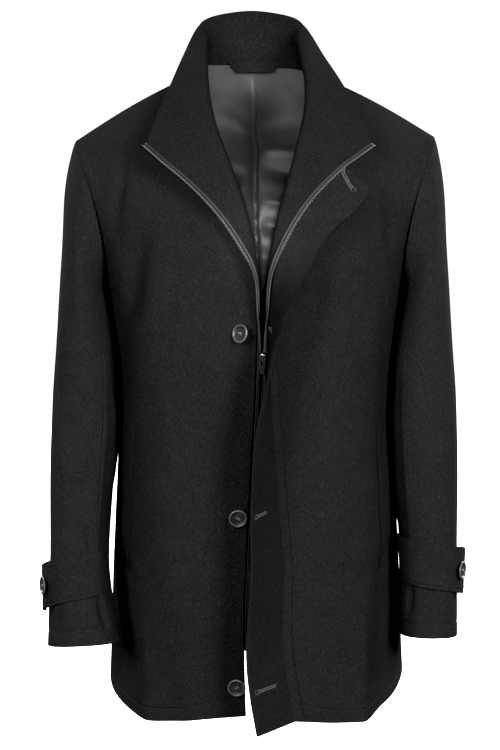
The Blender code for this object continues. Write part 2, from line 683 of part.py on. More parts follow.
# Back lining: grey satin inside the back, seen through the open neck, with a pleat down the middle
PLEAT = 0.003
lining = back[1:, 1:-1].copy()
lining[..., 1] -= PLEAT * np.exp(-((lining[..., 0] / 0.012) ** 2)) * ease((0.02 - lining[..., 2]) / 0.05)
lining_normals = shared["back"][1:, 1:-1]
wall("lining_back", lining, lining_normals, satin, -WOOL - GAP, -WOOL - GAP - LINING)

# Neck tab: a bare trapezoid of the coat's cloth, sewn inside the back neck
NeckTab = namedtuple("NeckTab", "top low deep thick")
NECK_TAB = NeckTab(0.035, 0.024, 0.011, 0.0012)


def across_row(row, x):
    order = np.argsort(row[:, 0])
    return np.stack([np.interp(x, row[order, 0], row[order, k]) for k in range(3)], axis=1)


steps = np.array([1.0, 0.5, 0.0, -0.5, -1.0])
tab_top = across_row(lining[-1], NECK_TAB.top * steps)
tab_next = across_row(lining[-2], NECK_TAB.low * steps)
fall = NECK_TAB.deep / np.linalg.norm(tab_next[2] - tab_top[2])
tab_low = tab_top + fall * (tab_next - tab_top)
tab_grid = np.array([tab_low, tab_top])
under_lining = -WOOL - LINING - 4 * GAP
wall("neck_tab", tab_grid, outward(tab_grid), wool, under_lining, under_lining - NECK_TAB.thick)

# Collar: stands at the back of the neck and folds out over the shoulders to its two points
COLLAR_LIFT = 0.0012  # between the gorge seam's two edges


def collar_half(side):
    """Collar sections of one side, from the gorge to the middle of the back, on the neck side."""
    inside = WOOL + GAP + FACING
    grid = fronts[side] - inside * shared[f"front_{side_name[side]}"]
    row = grid[GORGE_ROW, FLAT_COLUMNS - 1 :]
    rise = row - grid[GORGE_ROW - 1, FLAT_COLUMNS - 1 :]
    rise /= np.linalg.norm(rise, axis=1, keepdims=True)
    sections = [row + COLLAR_LIFT * rise]
    sections[0][0] += COLLAR_LIFT * unit(row[1] - row[0])
    for row, folded in zip(COLLAR_SECTIONS, COLLAR_FOLDED):
        places = (row.seam, row.roll, row.edge)
        seam, roll, edge = (np.array([row.shift + side * out, -deep, high]) for out, deep, high in places)
        section = unfolded(seam, edge)
        if folded > 0:
            section = section + folded * (over_roll(seam, roll, edge, COLLAR_RADIUS) - section)
        sections.append(section)
    return sections


collar_sections = collar_half(-1) + collar_half(1)[::-1][1:]
collar_places = np.arange(len(collar_sections), dtype=float)
collar = loft(collar_sections, collar_places, np.linspace(0.0, collar_places[-1], 2 * len(collar_sections) - 1))
collar_normals = outward(collar)
for row, side in ((0, -1), (-1, 1)):
    collar_normals[row] = shared[f"front_{side_name[side]}"][GORGE_ROW, FLAT_COLUMNS - 1 :]
wall("collar", collar, collar_normals, wool, COLLAR, 0.0)

# Sleeve linings: a band of satin inside each cuff
CUFF_LINING_STOP = 0.8  # of the last stretch of the sleeve
for side in (-1, 1):
    pieces = [f"sleeve_{side_name[side]}_{piece}" for piece in ("top", "under")]
    band = np.concatenate([panels[piece][0][-3:] for piece in pieces], axis=1)
    band[-1] = band[-2] + CUFF_LINING_STOP * (band[-1] - band[-2])
    normals = np.concatenate([shared[piece][-3:] for piece in pieces], axis=1)
    near = -WOOL - GAP
    wall(f"lining_cuff_{side_name[side]}", band, normals, satin, near, near - LINING, flip=side < 0)

# Sleeve straps: sewn in at the front seam, lying across the sleeve and standing off at the buttoned end
Strap = namedtuple("Strap", "inner_low outer_low width")
STRAPS = {-1: Strap(0.068, 0.055, 0.061), 1: Strap(0.077, 0.060, 0.063)}
STRAP_ANGLES = {-1: (134, -12), 1: (168, -12)}
STRAP_STAND = 0.006
STRAP_THICK = 0.003
STRAP_OFF = 0.0012


def strap_grid(side):
    """Points of a strap on the sleeve, rows from its low edge up and columns from the seam to its free end."""
    angles = np.linspace(*STRAP_ANGLES[side], 11)
    sections, places = sleeve_sections(side, angles)
    share = np.linspace(0.0, 1.0, len(angles))
    strap = STRAPS[side]
    low = places[-1] - strap.inner_low - (strap.outer_low - strap.inner_low) * share
    rows = []
    for step in np.linspace(0.0, 1.0, 4):
        at = low - step * strap.width
        rows.append([loft(sections[:, [j]], places, [at[j]])[0, 0] for j in range(len(angles))])
    grid = np.array(rows)
    stand = STRAP_STAND * ease((share - 0.45) / 0.55)
    return grid + outward(grid, flip=side < 0) * stand[None, :, None]


straps = {side: strap_grid(side) for side in (-1, 1)}
for side, strap in straps.items():
    normals = outward(strap, flip=side < 0)
    name = f"strap_{side_name[side]}"
    wall(name, strap, normals, wool, STRAP_OFF + STRAP_THICK, STRAP_OFF, flip=side < 0)

# Pocket welts: a strip on each front beside the pocket opening
WELT_COLUMNS = slice(4, 6)
WELT_THICK = 0.0025
welt_rows = slice(FRONT_LEVELS.index(WELT_LEVELS[0]), FRONT_LEVELS.index(WELT_LEVELS[-1]) + 1)
for side in (-1, 1):
    name = side_name[side]
    strip = fronts[side][welt_rows, WELT_COLUMNS]
    normals = shared[f"front_{name}"][welt_rows, WELT_COLUMNS]
    wall(f"welt_{name}", strip, normals, wool, GAP + WELT_THICK, GAP, flip=side > 0)


# Placket: a strip on the wearer's left front that covers the zip, standing forward and turning with the lapel
PLACKET_THICK = 0.003
PLACKET_SEWN = 0.005  # lies flat on the front this far behind its seam
PLACKET_BEND = 0.003
PLACKET_CLEAR = 6  # degrees between the placket and the front's folded edge
PLACKET_LEVELS = [level for level in FRONT_LEVELS if level < PLACKET[-1].level] + [PLACKET[-1].level]


def full_row(side, level):
    return np.concatenate([front_row(side, level, 3 * FLAT_COLUMNS), front_edge(side, level)[1:]])


def from_edge(side, level, distance):
    """The point of a front this far from its edge, the way the row runs there, and the outward normal."""
    row = full_row(side, level)[::-1]
    point, beyond = spaced(row, 2, distance, distance + 0.001)
    above = spaced(full_row(side, level + 0.01)[::-1], 1, distance)[0]
    along = unit(point - beyond)
    return point, along, side * unit(np.cross(above - point, along))


def facing_angle(along):
    """Degrees from the way across the body to the way forwards."""
    return (math.degrees(math.atan2(-along[1], -along[0])) + 90) % 360 - 90


def placket_row(level):
    """Points of the placket at a level, from its seam to its free edge, clear of the front's folded edge."""
    value = {name: float(look_up(PLACKET, name, level)) for name in Placket._fields}
    root, along, normal = from_edge(1, level, value["root"])
    sewn, _, sewn_normal = from_edge(1, level, value["root"] + PLACKET_SEWN)
    beyond = spaced(full_row(1, level)[::-1], 9, 0.0, 0.8 * value["root"])
    turn = max([value["turn"]] + [facing_angle(point - root) + PLACKET_CLEAR for point in beyond])
    start = facing_angle(along)
    path = [sewn + 2 * GAP * sewn_normal, root + 2 * GAP * normal]
    for share in np.linspace(0.0, 1.0, 5):
        angle = math.radians(start + share * (turn - start))
        way = np.array([-math.cos(angle), -math.sin(angle), 0.0])
        path.append(path[-1] + way * PLACKET_BEND / 5)
    end = path[-1] + way * value["reach"] - np.array([0.0, 0.0, value["drop"]])
    return np.concatenate([path, spaced([path[-1], end], 5)[1:]])


placket = np.array([placket_row(level) for level in PLACKET_LEVELS])
wall("placket", placket, outward(placket, flip=True), wool, PLACKET_THICK, 0.0, flip=True)


# Zip: two halves along the fronts' and collar's edges, closed between the two sliders
def zip_rows(side):
    """Inner and outer line of one zip half, from its low end to the collar's point."""
    zipped = slice(FRONT_LEVELS.index(ZIP_LEVEL), GORGE_ROW + 1)
    normals = shared[f"front_{side_name[side]}"][zipped, -2:]
    before, last = (fronts[side][zipped, -2:] - (WOOL + GAP + FACING) / 2 * normals).swapaxes(0, 1)
    half = (collar if side < 0 else collar[::-1])[1:3]
    half_normals = (collar_normals if side < 0 else collar_normals[::-1])[1:3]
    last = np.concatenate([last, half[:, -1] + COLLAR / 2 * half_normals[:, -1]])
    before = np.concatenate([before, half[:, -2] + COLLAR / 2 * half_normals[:, -2]])
    along = last - before
    along /= np.linalg.norm(along, axis=1, keepdims=True)
    return np.stack([last + 2 * GAP * along, last + (2 * GAP + ZIP_HALF) * along], axis=1)


zips = {side: zip_rows(side) for side in (-1, 1)}
for side, strip in zips.items():
    normals = outward(strip, flip=side > 0)
    wall(f"zip_{side_name[side]}", strip, normals, tape, ZIP_THICK / 2, -ZIP_THICK / 2, flip=side > 0)


# Buttons: dark resin discs with a raised rim, on a short thread shank
BUTTON_SIDES = 16
BUTTON_OFF = 0.0004
BUTTON_PROFILE = [
    (0.003, 0.0),
    (0.003, 0.0012),
    (0.92 * BUTTON_RADIUS, 0.0012),
    (BUTTON_RADIUS, 0.0012 + 0.45 * BUTTON_THICK),
    (0.90 * BUTTON_RADIUS, 0.0012 + BUTTON_THICK),
    (0.74 * BUTTON_RADIUS, 0.0012 + 0.75 * BUTTON_THICK),
]


def button(name, seat, normal):
    """A button whose shank stands on the seat."""
    normal = unit(normal)
    across = unit(np.cross(normal, (0.0, 0.0, 1.0)))
    up = np.cross(across, normal)
    points = []
    for radius, height in BUTTON_PROFILE:
        for i in range(BUTTON_SIDES):
            turn = 2 * math.pi * i / BUTTON_SIDES
            points.append(seat + height * normal + radius * (math.cos(turn) * across + math.sin(turn) * up))
    faces = [tuple(range(BUTTON_SIDES))[::-1]]
    last = (len(BUTTON_PROFILE) - 1) * BUTTON_SIDES
    faces.append(tuple(range(last, last + BUTTON_SIDES)))
    for ring in range(len(BUTTON_PROFILE) - 1):
        for i in range(BUTTON_SIDES):
            a = ring * BUTTON_SIDES + i
            b = ring * BUTTON_SIDES + (i + 1) % BUTTON_SIDES
            faces.append((a, b, b + BUTTON_SIDES, a + BUTTON_SIDES))
    if np.dot(np.cross(across, up), normal) < 0:
        faces = [face[::-1] for face in faces]
    return solid(name, points, faces, horn)


Fixed = namedtuple("Fixed", "name height edge")
FRONT_BUTTONS = [
    Fixed("button_1", -0.1100, 0.021),
    Fixed("button_2", -0.3140, 0.0195),
    Fixed("button_3", -0.5600, 0.014),
    Fixed("button_4", -0.7980, 0.011),
]


def level_of(height):
    if height <= UNDERARM:
        return (height - HEM) / (UNDERARM - HEM)
    return 1 + (LEVEL_GORGE - 1) * (height - UNDERARM) / (GORGE - UNDERARM)


def on_front(side, level, distance):
    """A point of a front's facets this far from its edge, and the outward normal there."""
    row = int(np.searchsorted(FRONT_LEVELS, level)) - 1
    share = (level - FRONT_LEVELS[row]) / (FRONT_LEVELS[row + 1] - FRONT_LEVELS[row])
    pair = fronts[side][row : row + 2]
    point, beyond = spaced((pair[0] + share * (pair[1] - pair[0]))[::-1], 2, distance, distance + 0.002)
    upwards = spaced(pair[1][::-1], 1, distance)[0] - spaced(pair[0][::-1], 1, distance)[0]
    return point, side * unit(np.cross(upwards, point - beyond))


for fixed in FRONT_BUTTONS:
    seat, normal = on_front(-1, level_of(fixed.height), fixed.edge)
    button(fixed.name, seat + BUTTON_OFF * normal, normal)
for side, strap in straps.items():
    normals = outward(strap, flip=side < 0)
    seat = strap[1:3, -3].mean(axis=0)
    normal = unit(normals[1:3, -3].mean(axis=0))
    button(f"strap_button_{side_name[side]}", seat + (STRAP_OFF + STRAP_THICK + BUTTON_OFF) * normal, normal)

# Sliders: a plate with a loop for the pull, before the zip, and a pull tab that swings on each
PLATE = (0.0084, 0.0024, 0.0110)
LOOP = (0.0020, 0.0038, 0.0080)  # width, stand-off and height
LOOP_BAR = 0.0012
PULL_HALF = 0.0030
PULL_LONG = 0.0240
PULL_THICK = 0.0011
PULL_HOLE = (0.0018, 0.0110)  # half width and height of the hole
Slider = namedtuple("Slider", "name height")
SLIDERS = [Slider("upper", BREAK - 0.0070), Slider("lower", LOWER_SLIDER)]


def prism(outline, low, high):
    """Points and faces of a flat outline in Y and Z, pushed through X."""
    count = len(outline)
    points = [(x, y, z) for x in (low, high) for y, z in outline]
    faces = [tuple(range(count)), tuple(range(count, 2 * count))[::-1]]
    faces += [(i, i + count, (i + 1) % count + count, (i + 1) % count) for i in range(count)]
    return points, faces


def slider_body(name, place):
    """A bevelled plate with a square loop standing on its front."""
    wide, deep, tall = PLATE
    front = -deep
    sunk = front + 0.0004
    half = LOOP[2] / 2
    out = front - LOOP[1]
    loop_outline = [(sunk, -half), (out, -half), (out, half), (sunk, half), (sunk, half - LOOP_BAR)]
    loop_outline += [(out + LOOP_BAR, half - LOOP_BAR), (out + LOOP_BAR, LOOP_BAR - half)]
    loop_outline += [(sunk, LOOP_BAR - half)]
    plate_outline = [(0.0, -tall / 2), (front, -0.42 * tall), (front, 0.42 * tall), (0.0, tall / 2)]
    points, faces = prism(loop_outline, -LOOP[0] / 2, LOOP[0] / 2)
    loop = solid(f"{name}_loop", np.array(points) + place, faces, metal)
    points, faces = prism(plate_outline, -wide / 2, wide / 2)
    body = solid(name, np.array(points) + place, faces, metal)
    join = body.modifiers.new("loop", "BOOLEAN")
    join.operation = "UNION"
    join.object = loop
    with bpy.context.temp_override(object=body):
        bpy.ops.object.modifier_apply(modifier=join.name)
    bpy.data.objects.remove(loop, do_unlink=True)


def pull_tab(name, axis_point):
    """A flat tab with a long hole at its top, hanging from its bar; the origin is on the bar."""
    bar = PULL_THICK / 2
    hole_half, hole_tall = PULL_HOLE
    outer = [(-PULL_HALF, bar), (PULL_HALF, bar), (PULL_HALF, 0.002 - PULL_LONG)]
    outer += [(PULL_HALF - 0.001, -PULL_LONG), (0.001 - PULL_HALF, -PULL_LONG), (-PULL_HALF, 0.002 - PULL_LONG)]
    low = -bar - hole_tall
    hole = [(-hole_half, -bar), (hole_half, -bar), (hole_half, low)]
    hole += [(0.3 * hole_half, low), (-0.3 * hole_half, low), (-hole_half, low)]
    count = len(outer)
    points = [(x, y, z) for y in (-bar, bar) for loop in (outer, hole) for x, z in loop]
    faces = []
    for i in range(count):
        j = (i + 1) % count
        faces.append((i, i + count, j + count, j))
        faces.append((i + 2 * count, j + 2 * count, j + 3 * count, i + 3 * count))
        faces.append((i, j, j + 2 * count, i + 2 * count))
        faces.append((i + count, i + 3 * count, j + 3 * count, j + count))
    made = solid(name, points, faces, metal)
    made.location = axis_point
    return made


for slider in SLIDERS:
    level = level_of(slider.height)
    edges = [from_edge(side, level, 0.0)[0] for side in (-1, 1)]
    place = (edges[0] + edges[1]) / 2
    place[1] = min(edges[0][1], edges[1][1]) + (WOOL + GAP + FACING) / 2 - ZIP_THICK / 2 - GAP
    slider_body(f"slider_{slider.name}", place)
    bar_place = place + np.array([0.0, -PLATE[1] - 0.0015, LOOP[2] / 2 - LOOP_BAR - 0.0009])
    pull_tab(f"pull_{slider.name}", bar_place)
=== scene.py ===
"""A charcoal wool car coat, filled out as worn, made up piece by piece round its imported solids."""

import math
from collections import namedtuple

import bpy
import numpy as np
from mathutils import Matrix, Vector


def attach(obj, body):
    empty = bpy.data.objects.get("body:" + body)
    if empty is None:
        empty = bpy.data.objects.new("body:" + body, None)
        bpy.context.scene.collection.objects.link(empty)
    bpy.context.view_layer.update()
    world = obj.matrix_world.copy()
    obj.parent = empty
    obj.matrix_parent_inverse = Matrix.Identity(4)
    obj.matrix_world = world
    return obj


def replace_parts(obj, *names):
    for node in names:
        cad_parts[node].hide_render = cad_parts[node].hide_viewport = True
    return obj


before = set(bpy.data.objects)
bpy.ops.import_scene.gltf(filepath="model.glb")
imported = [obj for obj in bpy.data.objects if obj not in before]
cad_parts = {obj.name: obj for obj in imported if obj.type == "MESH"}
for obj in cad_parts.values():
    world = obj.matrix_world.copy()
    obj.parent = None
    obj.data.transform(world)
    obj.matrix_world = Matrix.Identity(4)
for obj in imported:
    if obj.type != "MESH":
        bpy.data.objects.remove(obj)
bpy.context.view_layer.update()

# Fronts
# Two panels of heavy charcoal wool, from the side seams to the zip. Above the top slider each one rolls
# back as a lapel; the hem is turned up and stitched, and soft drags hang from the chest and the hip.
HEM = -0.842
UNDERARM = -0.2756
BREAK = -0.338
GORGE = -0.088
LEVEL_GORGE = 1.5  # level 0 is the hem, 1 the underarm, 1.5 the gorge and 2 the shoulder seam
WOOL = 0.0022
FACING = 0.0018
GAP = 0.0003
FOLD_RADIUS = 0.004
LAPEL_BED = 0.025
BED_DROPS = 0.25  # share of the lapel edge's drop
ZIP_HALF = 0.00605
EDGE_FROM_ZIP = ZIP_HALF + 2 * GAP + 0.00025
BED_FROM_ZIP = EDGE_FROM_ZIP + LAPEL_BED + 0.003  # where the flat part of a front ends below the break
ZIP_END = -0.754
LOWER_SLIDER = -0.7186
NECK_POINT = (0.079, 0.012, 0.018)
NECK_BACK = (0.072, 0.028)
WOOL_DARK = (0.0140, 0.0130, 0.0135, 1.0)
WOOL_LIGHT = (0.0248, 0.0232, 0.0240, 1.0)
WOOL_FLECK = (0.082, 0.079, 0.080, 1.0)

Body = namedtuple("Body", "height half_width front back square_front square_back seam")
BODY = [
    Body(HEM, 0.2090, 0.1570, 0.1420, 2.85, 2.5, 0.040),
    Body(-0.666, 0.2020, 0.1510, 0.1320, 2.85, 2.5, 0.025),
    Body(-0.550, 0.1940, 0.1480, 0.1220, 2.8, 2.5, 0.014),
    Body(-0.450, 0.1890, 0.1485, 0.1180, 2.7, 2.4, 0.006),
    Body(-0.360, 0.1908, 0.1510, 0.1240, 2.6, 2.4, 0.002),
    Body(UNDERARM, 0.1994, 0.1480, 0.1340, 2.5, 2.4, 0.000),
]

# The wearer's right front sinks behind the left one towards the hem, and the left one swings aside there
RECESS = {-1: 0.014, 1: 0.0}
RECESS_FROM = -0.550
PARTING = 0.022

Middle = namedtuple("Middle", "height shift")
MIDDLE = [
    Middle(HEM, -0.0045),
    Middle(LOWER_SLIDER, -0.0070),
    Middle(-0.560, -0.0010),
    Middle(-0.430, 0.0060),
    Middle(BREAK, 0.0097),
    Middle(-0.210, 0.0107),
    Middle(-0.140, 0.0100),
    Middle(GORGE, 0.0080),
    Middle(0.000, 0.0025),
    Middle(0.080, 0.0000),
]

Drop = namedtuple("Drop", "out fall")
HEM_DROP = {
    -1: [Drop(0.00, -0.001), Drop(0.06, 0.004), Drop(0.11, 0.010),
         Drop(0.15, 0.013), Drop(0.18, 0.004), Drop(0.206, -0.006)],
    1: [Drop(0.00, 0.000), Drop(0.06, 0.002), Drop(0.11, 0.005),
        Drop(0.15, 0.008), Drop(0.175, -0.003), Drop(0.208, -0.022)],
}
HEM_DROP_FROM = -0.60
SIDE_FULLER = {-1: 0.0, 1: 0.0055}  # how much the side swings out from the hip down
SIDE_FULLER_FROM = -0.44
SIDE_FULLER_OVER = 0.13

Lapel = namedtuple("Lapel", "height roll bed depth edge edge_shift edge_depth edge_drop")
LAPEL = [
    Lapel(BREAK, 0.0095, 0.1505, 0.1505, EDGE_FROM_ZIP, 0.0, 0.1505, 0.000),
    Lapel(-0.310, 0.0092, 0.1490, 0.1510, 0.0092, 0.0, 0.1570, 0.000),
    Lapel(UNDERARM, 0.0082, 0.1460, 0.1510, 0.0092, 0.0, 0.1610, 0.000),
    Lapel(-0.245, 0.0095, 0.1440, 0.1510, 0.0110, 0.0, 0.1610, 0.000),
    Lapel(-0.210, 0.0135, 0.1420, 0.1490, 0.0200, -0.001, 0.1575, 0.002),
    Lapel(-0.175, 0.0205, 0.1370, 0.1440, 0.0375, -0.003, 0.1530, 0.004),
    Lapel(-0.140, 0.0300, 0.1270, 0.1340, 0.0615, -0.005, 0.1450, 0.006),
    Lapel(-0.115, 0.0380, 0.1160, 0.1230, 0.0845, -0.006, 0.1350, 0.008),
    Lapel(GORGE, 0.0470, 0.1040, 0.1110, 0.1130, -0.006, 0.1220, 0.011),
]

Neckline = namedtuple("Neckline", "along out shift depth height")
NECKLINE = [
    Neckline(0.00, LAPEL[-1].roll + LAPEL_BED, 0.0080, 0.1040, -0.0940),
    Neckline(0.30, 0.0740, 0.0060, 0.0780, -0.0660),
    Neckline(0.60, 0.0760, 0.0040, 0.0460, -0.0320),
    Neckline(0.85, 0.0780, 0.0010, 0.0140, -0.0020),
    Neckline(1.00, NECK_POINT[0], 0.0000, -NECK_POINT[1], NECK_POINT[2]),
]

Row = namedtuple("Row", "level at_edge at_middle")
FRONT_ROWS = [
    Row(1.0, 2.5, 2.5),
    Row(1.15, 2.1, 2.3),
    Row(1.5, 1.5, 2.1),
    Row(1.8, 1.2, 1.6),
    Row(2.0, 1.0, 1.0),
]

ARMHOLE_MIDDLE = (0.2215, 0.0, -0.175)
ARMHOLE_REACH = 0.103
SHOULDER_RAISED = {-1: 0.000, 1: 0.006}
ARMHOLE_DEPTH = 0.062
ARMHOLE_TILT = math.radians(77.6)
SHOULDER_ROUND = 0.005
SHOULDER_END = ARMHOLE_MIDDLE[0] + 0.022  # where its soft curve ends
ARMHOLE_SCOOP = (0.013, 0.006)

# Soft creases, ridges (+) and troughs (-): place across and height of both ends, half width and size
Crease = namedtuple("Crease", "across_top top across_low low width size")
FRONT_FOLDS = {
    -1: [
        Crease(0.150, -0.660, 0.146, -0.880, 0.016, 0.0016),
        Crease(0.176, -0.130, 0.150, -0.330, 0.016, -0.0040),
        Crease(0.120, -0.420, 0.105, -0.760, 0.030, 0.0040),
        Crease(0.034, -0.390, 0.036, -0.740, 0.013, -0.0090),
    ],
    1: [
        Crease(0.100, -0.500, 0.118, -0.880, 0.034, 0.0040),
        Crease(0.176, -0.130, 0.150, -0.330, 0.016, -0.0040),
        Crease(0.078, -0.640, 0.084, -0.900, 0.014, -0.0024),
        Crease(0.078, -0.235, 0.052, -0.430, 0.017, -0.0200),
    ],
}
FRONT_CREASES = {
    -1: [
        Crease(0.164, -0.070, 0.188, -0.200, 0.009, -0.0050),
        Crease(0.160, -0.070, 0.176, -0.190, 0.010, 0.0022),
        Crease(0.138, -0.170, 0.172, -0.320, 0.013, -0.0060),
        Crease(0.128, -0.200, 0.150, -0.400, 0.018, 0.0026),
        Crease(0.176, -0.270, 0.186, -0.480, 0.012, -0.0046),
        Crease(0.150, -0.690, 0.145, -1.000, 0.008, 0.0026),
        Crease(0.178, -0.690, 0.168, -1.000, 0.012, -0.0008),
        Crease(0.120, -0.700, 0.112, -1.000, 0.018, -0.0024),
        Crease(0.090, -0.560, 0.070, -0.860, 0.020, -0.0020),
        Crease(0.190, -0.610, 0.164, -0.668, 0.006, -0.0034),
        Crease(0.060, -0.360, 0.090, -0.520, 0.018, -0.0016),
    ],
    1: [
        Crease(0.166, -0.100, 0.190, -0.250, 0.010, -0.0046),
        Crease(0.150, -0.120, 0.166, -0.240, 0.012, 0.0020),
        Crease(0.112, -0.240, 0.164, -0.420, 0.014, -0.0042),
        Crease(0.176, -0.300, 0.182, -0.520, 0.012, -0.0044),
        Crease(0.148, -0.660, 0.150, -1.000, 0.008, 0.0042),
        Crease(0.176, -0.600, 0.172, -1.000, 0.012, -0.0044),
        Crease(0.120, -0.560, 0.124, -0.980, 0.016, -0.0022),
        Crease(0.190, -0.600, 0.168, -0.660, 0.006, -0.0030),
        Crease(0.080, -0.420, 0.086, -0.640, 0.024, 0.0016),
    ],
}


def spline(places, values, at):
    """A smooth curve through the values that never overshoots them, read at one or more places."""
    x = np.asarray(places, float)
    y = np.asarray(values, float)
    at = np.asarray(at, float)
    step = np.diff(x)
    rise = np.diff(y) / step
    slope = np.zeros_like(y)
    steady = rise[1:] * rise[:-1] > 0
    inner = np.zeros(len(y) - 2)
    inner[steady] = 2 * rise[1:][steady] * rise[:-1][steady] / (rise[1:] + rise[:-1])[steady]
    slope[1:-1] = inner
    slope[0] = rise[0]
    slope[-1] = rise[-1]
    i = np.clip(np.searchsorted(x, at) - 1, 0, len(x) - 2)
    t = np.clip((at - x[i]) / step[i], 0.0, 1.0)
    value = y[i] * (1 + 2 * t) * (1 - t) ** 2 + y[i + 1] * t**2 * (3 - 2 * t)
    return value + step[i] * (slope[i] * t * (1 - t) ** 2 - slope[i + 1] * t**2 * (1 - t))


def look_up(table, column, at):
    return spline([row[0] for row in table], [getattr(row, column) for row in table], at)


def row_at(table, at):
    """A row of a table between its own rows."""
    return type(table[0])(*(float(look_up(table, name, at)) for name in table[0]._fields))


def ease(t):
    t = np.clip(t, 0.0, 1.0)
    return t * t * (3 - 2 * t)


def unit(v):
    v = np.asarray(v, float)
    return v / np.linalg.norm(v, axis=-1, keepdims=True)


def run_of(path):
    """The distance along a path at each of its points."""
    return np.concatenate([[0.0], np.cumsum(np.linalg.norm(np.diff(path, axis=0), axis=1))])


def read_off(where, steps, values):
    """Points or directions of a path between its own, at given distances along it."""
    return np.stack([np.interp(where, steps, values[:, k]) for k in range(3)], axis=1)


def spaced(path, count, start=0.0, stop=None):
    """Points at equal steps along a path, from start to stop in metres."""
    path = np.asarray(path, float)
    along = run_of(path)
    return read_off(np.linspace(start, along[-1] if stop is None else stop, count), along, path)


def refined(grid, places, at):
    """Rows of a grid between its own rows, on curves of even bend through them."""
    x = np.asarray(places, float)
    at = np.asarray(at, float)
    y = grid.reshape(len(x), -1)
    step = np.diff(x)[:, None]
    slope = np.diff(y, axis=0) / step
    system = np.eye(len(x))
    pull = np.zeros_like(y)
    pull[1:-1] = 6 * np.diff(slope, axis=0)
    for i in range(1, len(x) - 1):
        system[i, i - 1 : i + 2] = step[i - 1, 0], 2 * (step[i - 1, 0] + step[i, 0]), step[i, 0]
    bend = np.linalg.solve(system, pull)
    i = np.clip(np.searchsorted(x, at) - 1, 0, len(x) - 2)
    before = (at - x[i])[:, None]
    after = (x[i + 1] - at)[:, None]
    value = (bend[i] * after**3 + bend[i + 1] * before**3) / (6 * step[i])
    value += (y[i] / step[i] - bend[i] * step[i] / 6) * after
    value += (y[i + 1] / step[i] - bend[i + 1] * step[i] / 6) * before
    return value.reshape(len(at), *grid.shape[1:])


def columns_at(grid, at):
    """The same grid with its columns read at new column numbers."""
    return refined(grid.swapaxes(0, 1), np.arange(float(grid.shape[1])), at).swapaxes(0, 1)


ROLL_SHARES = np.concatenate([
    [0.0, 0.10, 0.20], np.linspace(0.30, 0.65, 10), np.linspace(0.65, 1.0, 13)[1:]])


def over_roll(start, roll, end, radius):
    """Points from start over a rounded fold to end, in the plane of the three points."""
    start, roll, end = (np.asarray(p, float) for p in (start, roll, end))
    up = unit(roll - (start + end) / 2)
    across = end - start
    across = unit(across - up * across.dot(up))
    centre = roll - radius * up
    s = np.array([(start - centre).dot(across), (start - centre).dot(up)])
    e = np.array([(end - centre).dot(across), (end - centre).dot(up)])
    leave = math.atan2(s[1], s[0]) % (2 * math.pi) - math.acos(min(1.0, radius / np.hypot(*s)))
    arrive = math.atan2(e[1], e[0]) + math.acos(min(1.0, radius / np.hypot(*e)))
    turn = np.linspace(leave, max(arrive, leave - math.pi), 10)
    arc = centre + radius * (np.outer(np.cos(turn), across) + np.outer(np.sin(turn), up))
    return np.concatenate([spaced([start, arc[0]], 4)[:-1], arc, spaced([arc[-1], end], 13)[1:]])


def unfolded(start, end):
    return start + np.outer(ROLL_SHARES, end - start)


def middle_at(side, height):
    parted = ease((LOWER_SLIDER - height) / (LOWER_SLIDER - HEM)) if side > 0 else 0.0
    return row_at(MIDDLE, height).shift + PARTING * float(parted)


def height_of(level):
    if level <= 1:
        return HEM + level * (UNDERARM - HEM)
    return UNDERARM + (level - 1) / (LEVEL_GORGE - 1) * (GORGE - UNDERARM)


def side_seam(side, height):
    body = row_at(BODY, height)
    fuller = SIDE_FULLER[side] * float(ease((SIDE_FULLER_FROM - height) / SIDE_FULLER_OVER))
    return np.array([side * (body.half_width + fuller), body.seam, height])


def armhole(side, degrees):
    """A point of the armhole: 0 is the shoulder point, 90 the chest, 180 the underarm, 270 the blade."""
    turn = math.radians(degrees)
    along = ARMHOLE_REACH * math.cos(turn) + SHOULDER_RAISED[side] * max(0.0, math.cos(turn))
    scoop = ARMHOLE_SCOOP[0 if math.sin(turn) > 0 else 1] * math.sin(turn) ** 2
    x = ARMHOLE_MIDDLE[0] + along * math.cos(ARMHOLE_TILT) - scoop
    y = ARMHOLE_MIDDLE[1] - ARMHOLE_DEPTH * math.sin(turn)
    return np.array([side * x, y, ARMHOLE_MIDDLE[2] + along * math.sin(ARMHOLE_TILT)])


def bulge(start, stop, at_edge, at_middle, count):
    """A row that leaves start round a corner and reaches stop flat, in plan a part of a squared oval."""
    t = np.linspace(0.0, math.pi / 2, 160)
    c = np.cos(t) ** (2 / at_middle)
    s = np.sin(t) ** (2 / at_edge)
    c[-1] = 0.0
    x = stop[0] + (start[0] - stop[0]) * c
    y = start[1] + (stop[1] - start[1]) * s
    z = stop[2] + (start[2] - stop[2]) * c
    return spaced(np.stack([x, y, z], axis=1), count)


def lapel_at(side, level):
    """Bed, roll and edge points of a folded front at a level."""
    height = height_of(level)
    lapel = row_at(LAPEL, height)
    shift = middle_at(side, height)
    bed = (shift + side * (lapel.roll + LAPEL_BED), -lapel.bed, height - BED_DROPS * lapel.edge_drop)
    roll = (shift + side * lapel.roll, -lapel.depth, height)
    edge = (shift + lapel.edge_shift + side * lapel.edge, -lapel.edge_depth, height - lapel.edge_drop)
    return np.array([bed, roll, edge])


def front_inner(side, level):
    """Where a front's row ends: at the lapel's bed, beside the zip or at the neck seam."""
    height = height_of(level)
    if level > LEVEL_GORGE:
        neck = row_at(NECKLINE, (level - LEVEL_GORGE) / (2 - LEVEL_GORGE))
        return np.array([neck.shift + side * neck.out, -neck.depth, neck.height])
    if height > BREAK:
        return lapel_at(side, level)[0]
    sunk = RECESS[side] * float(ease((RECESS_FROM - height) / (RECESS_FROM - HEM)))
    across = middle_at(side, height) + side * BED_FROM_ZIP
    return np.array([across, sunk - row_at(BODY, height).front, height])


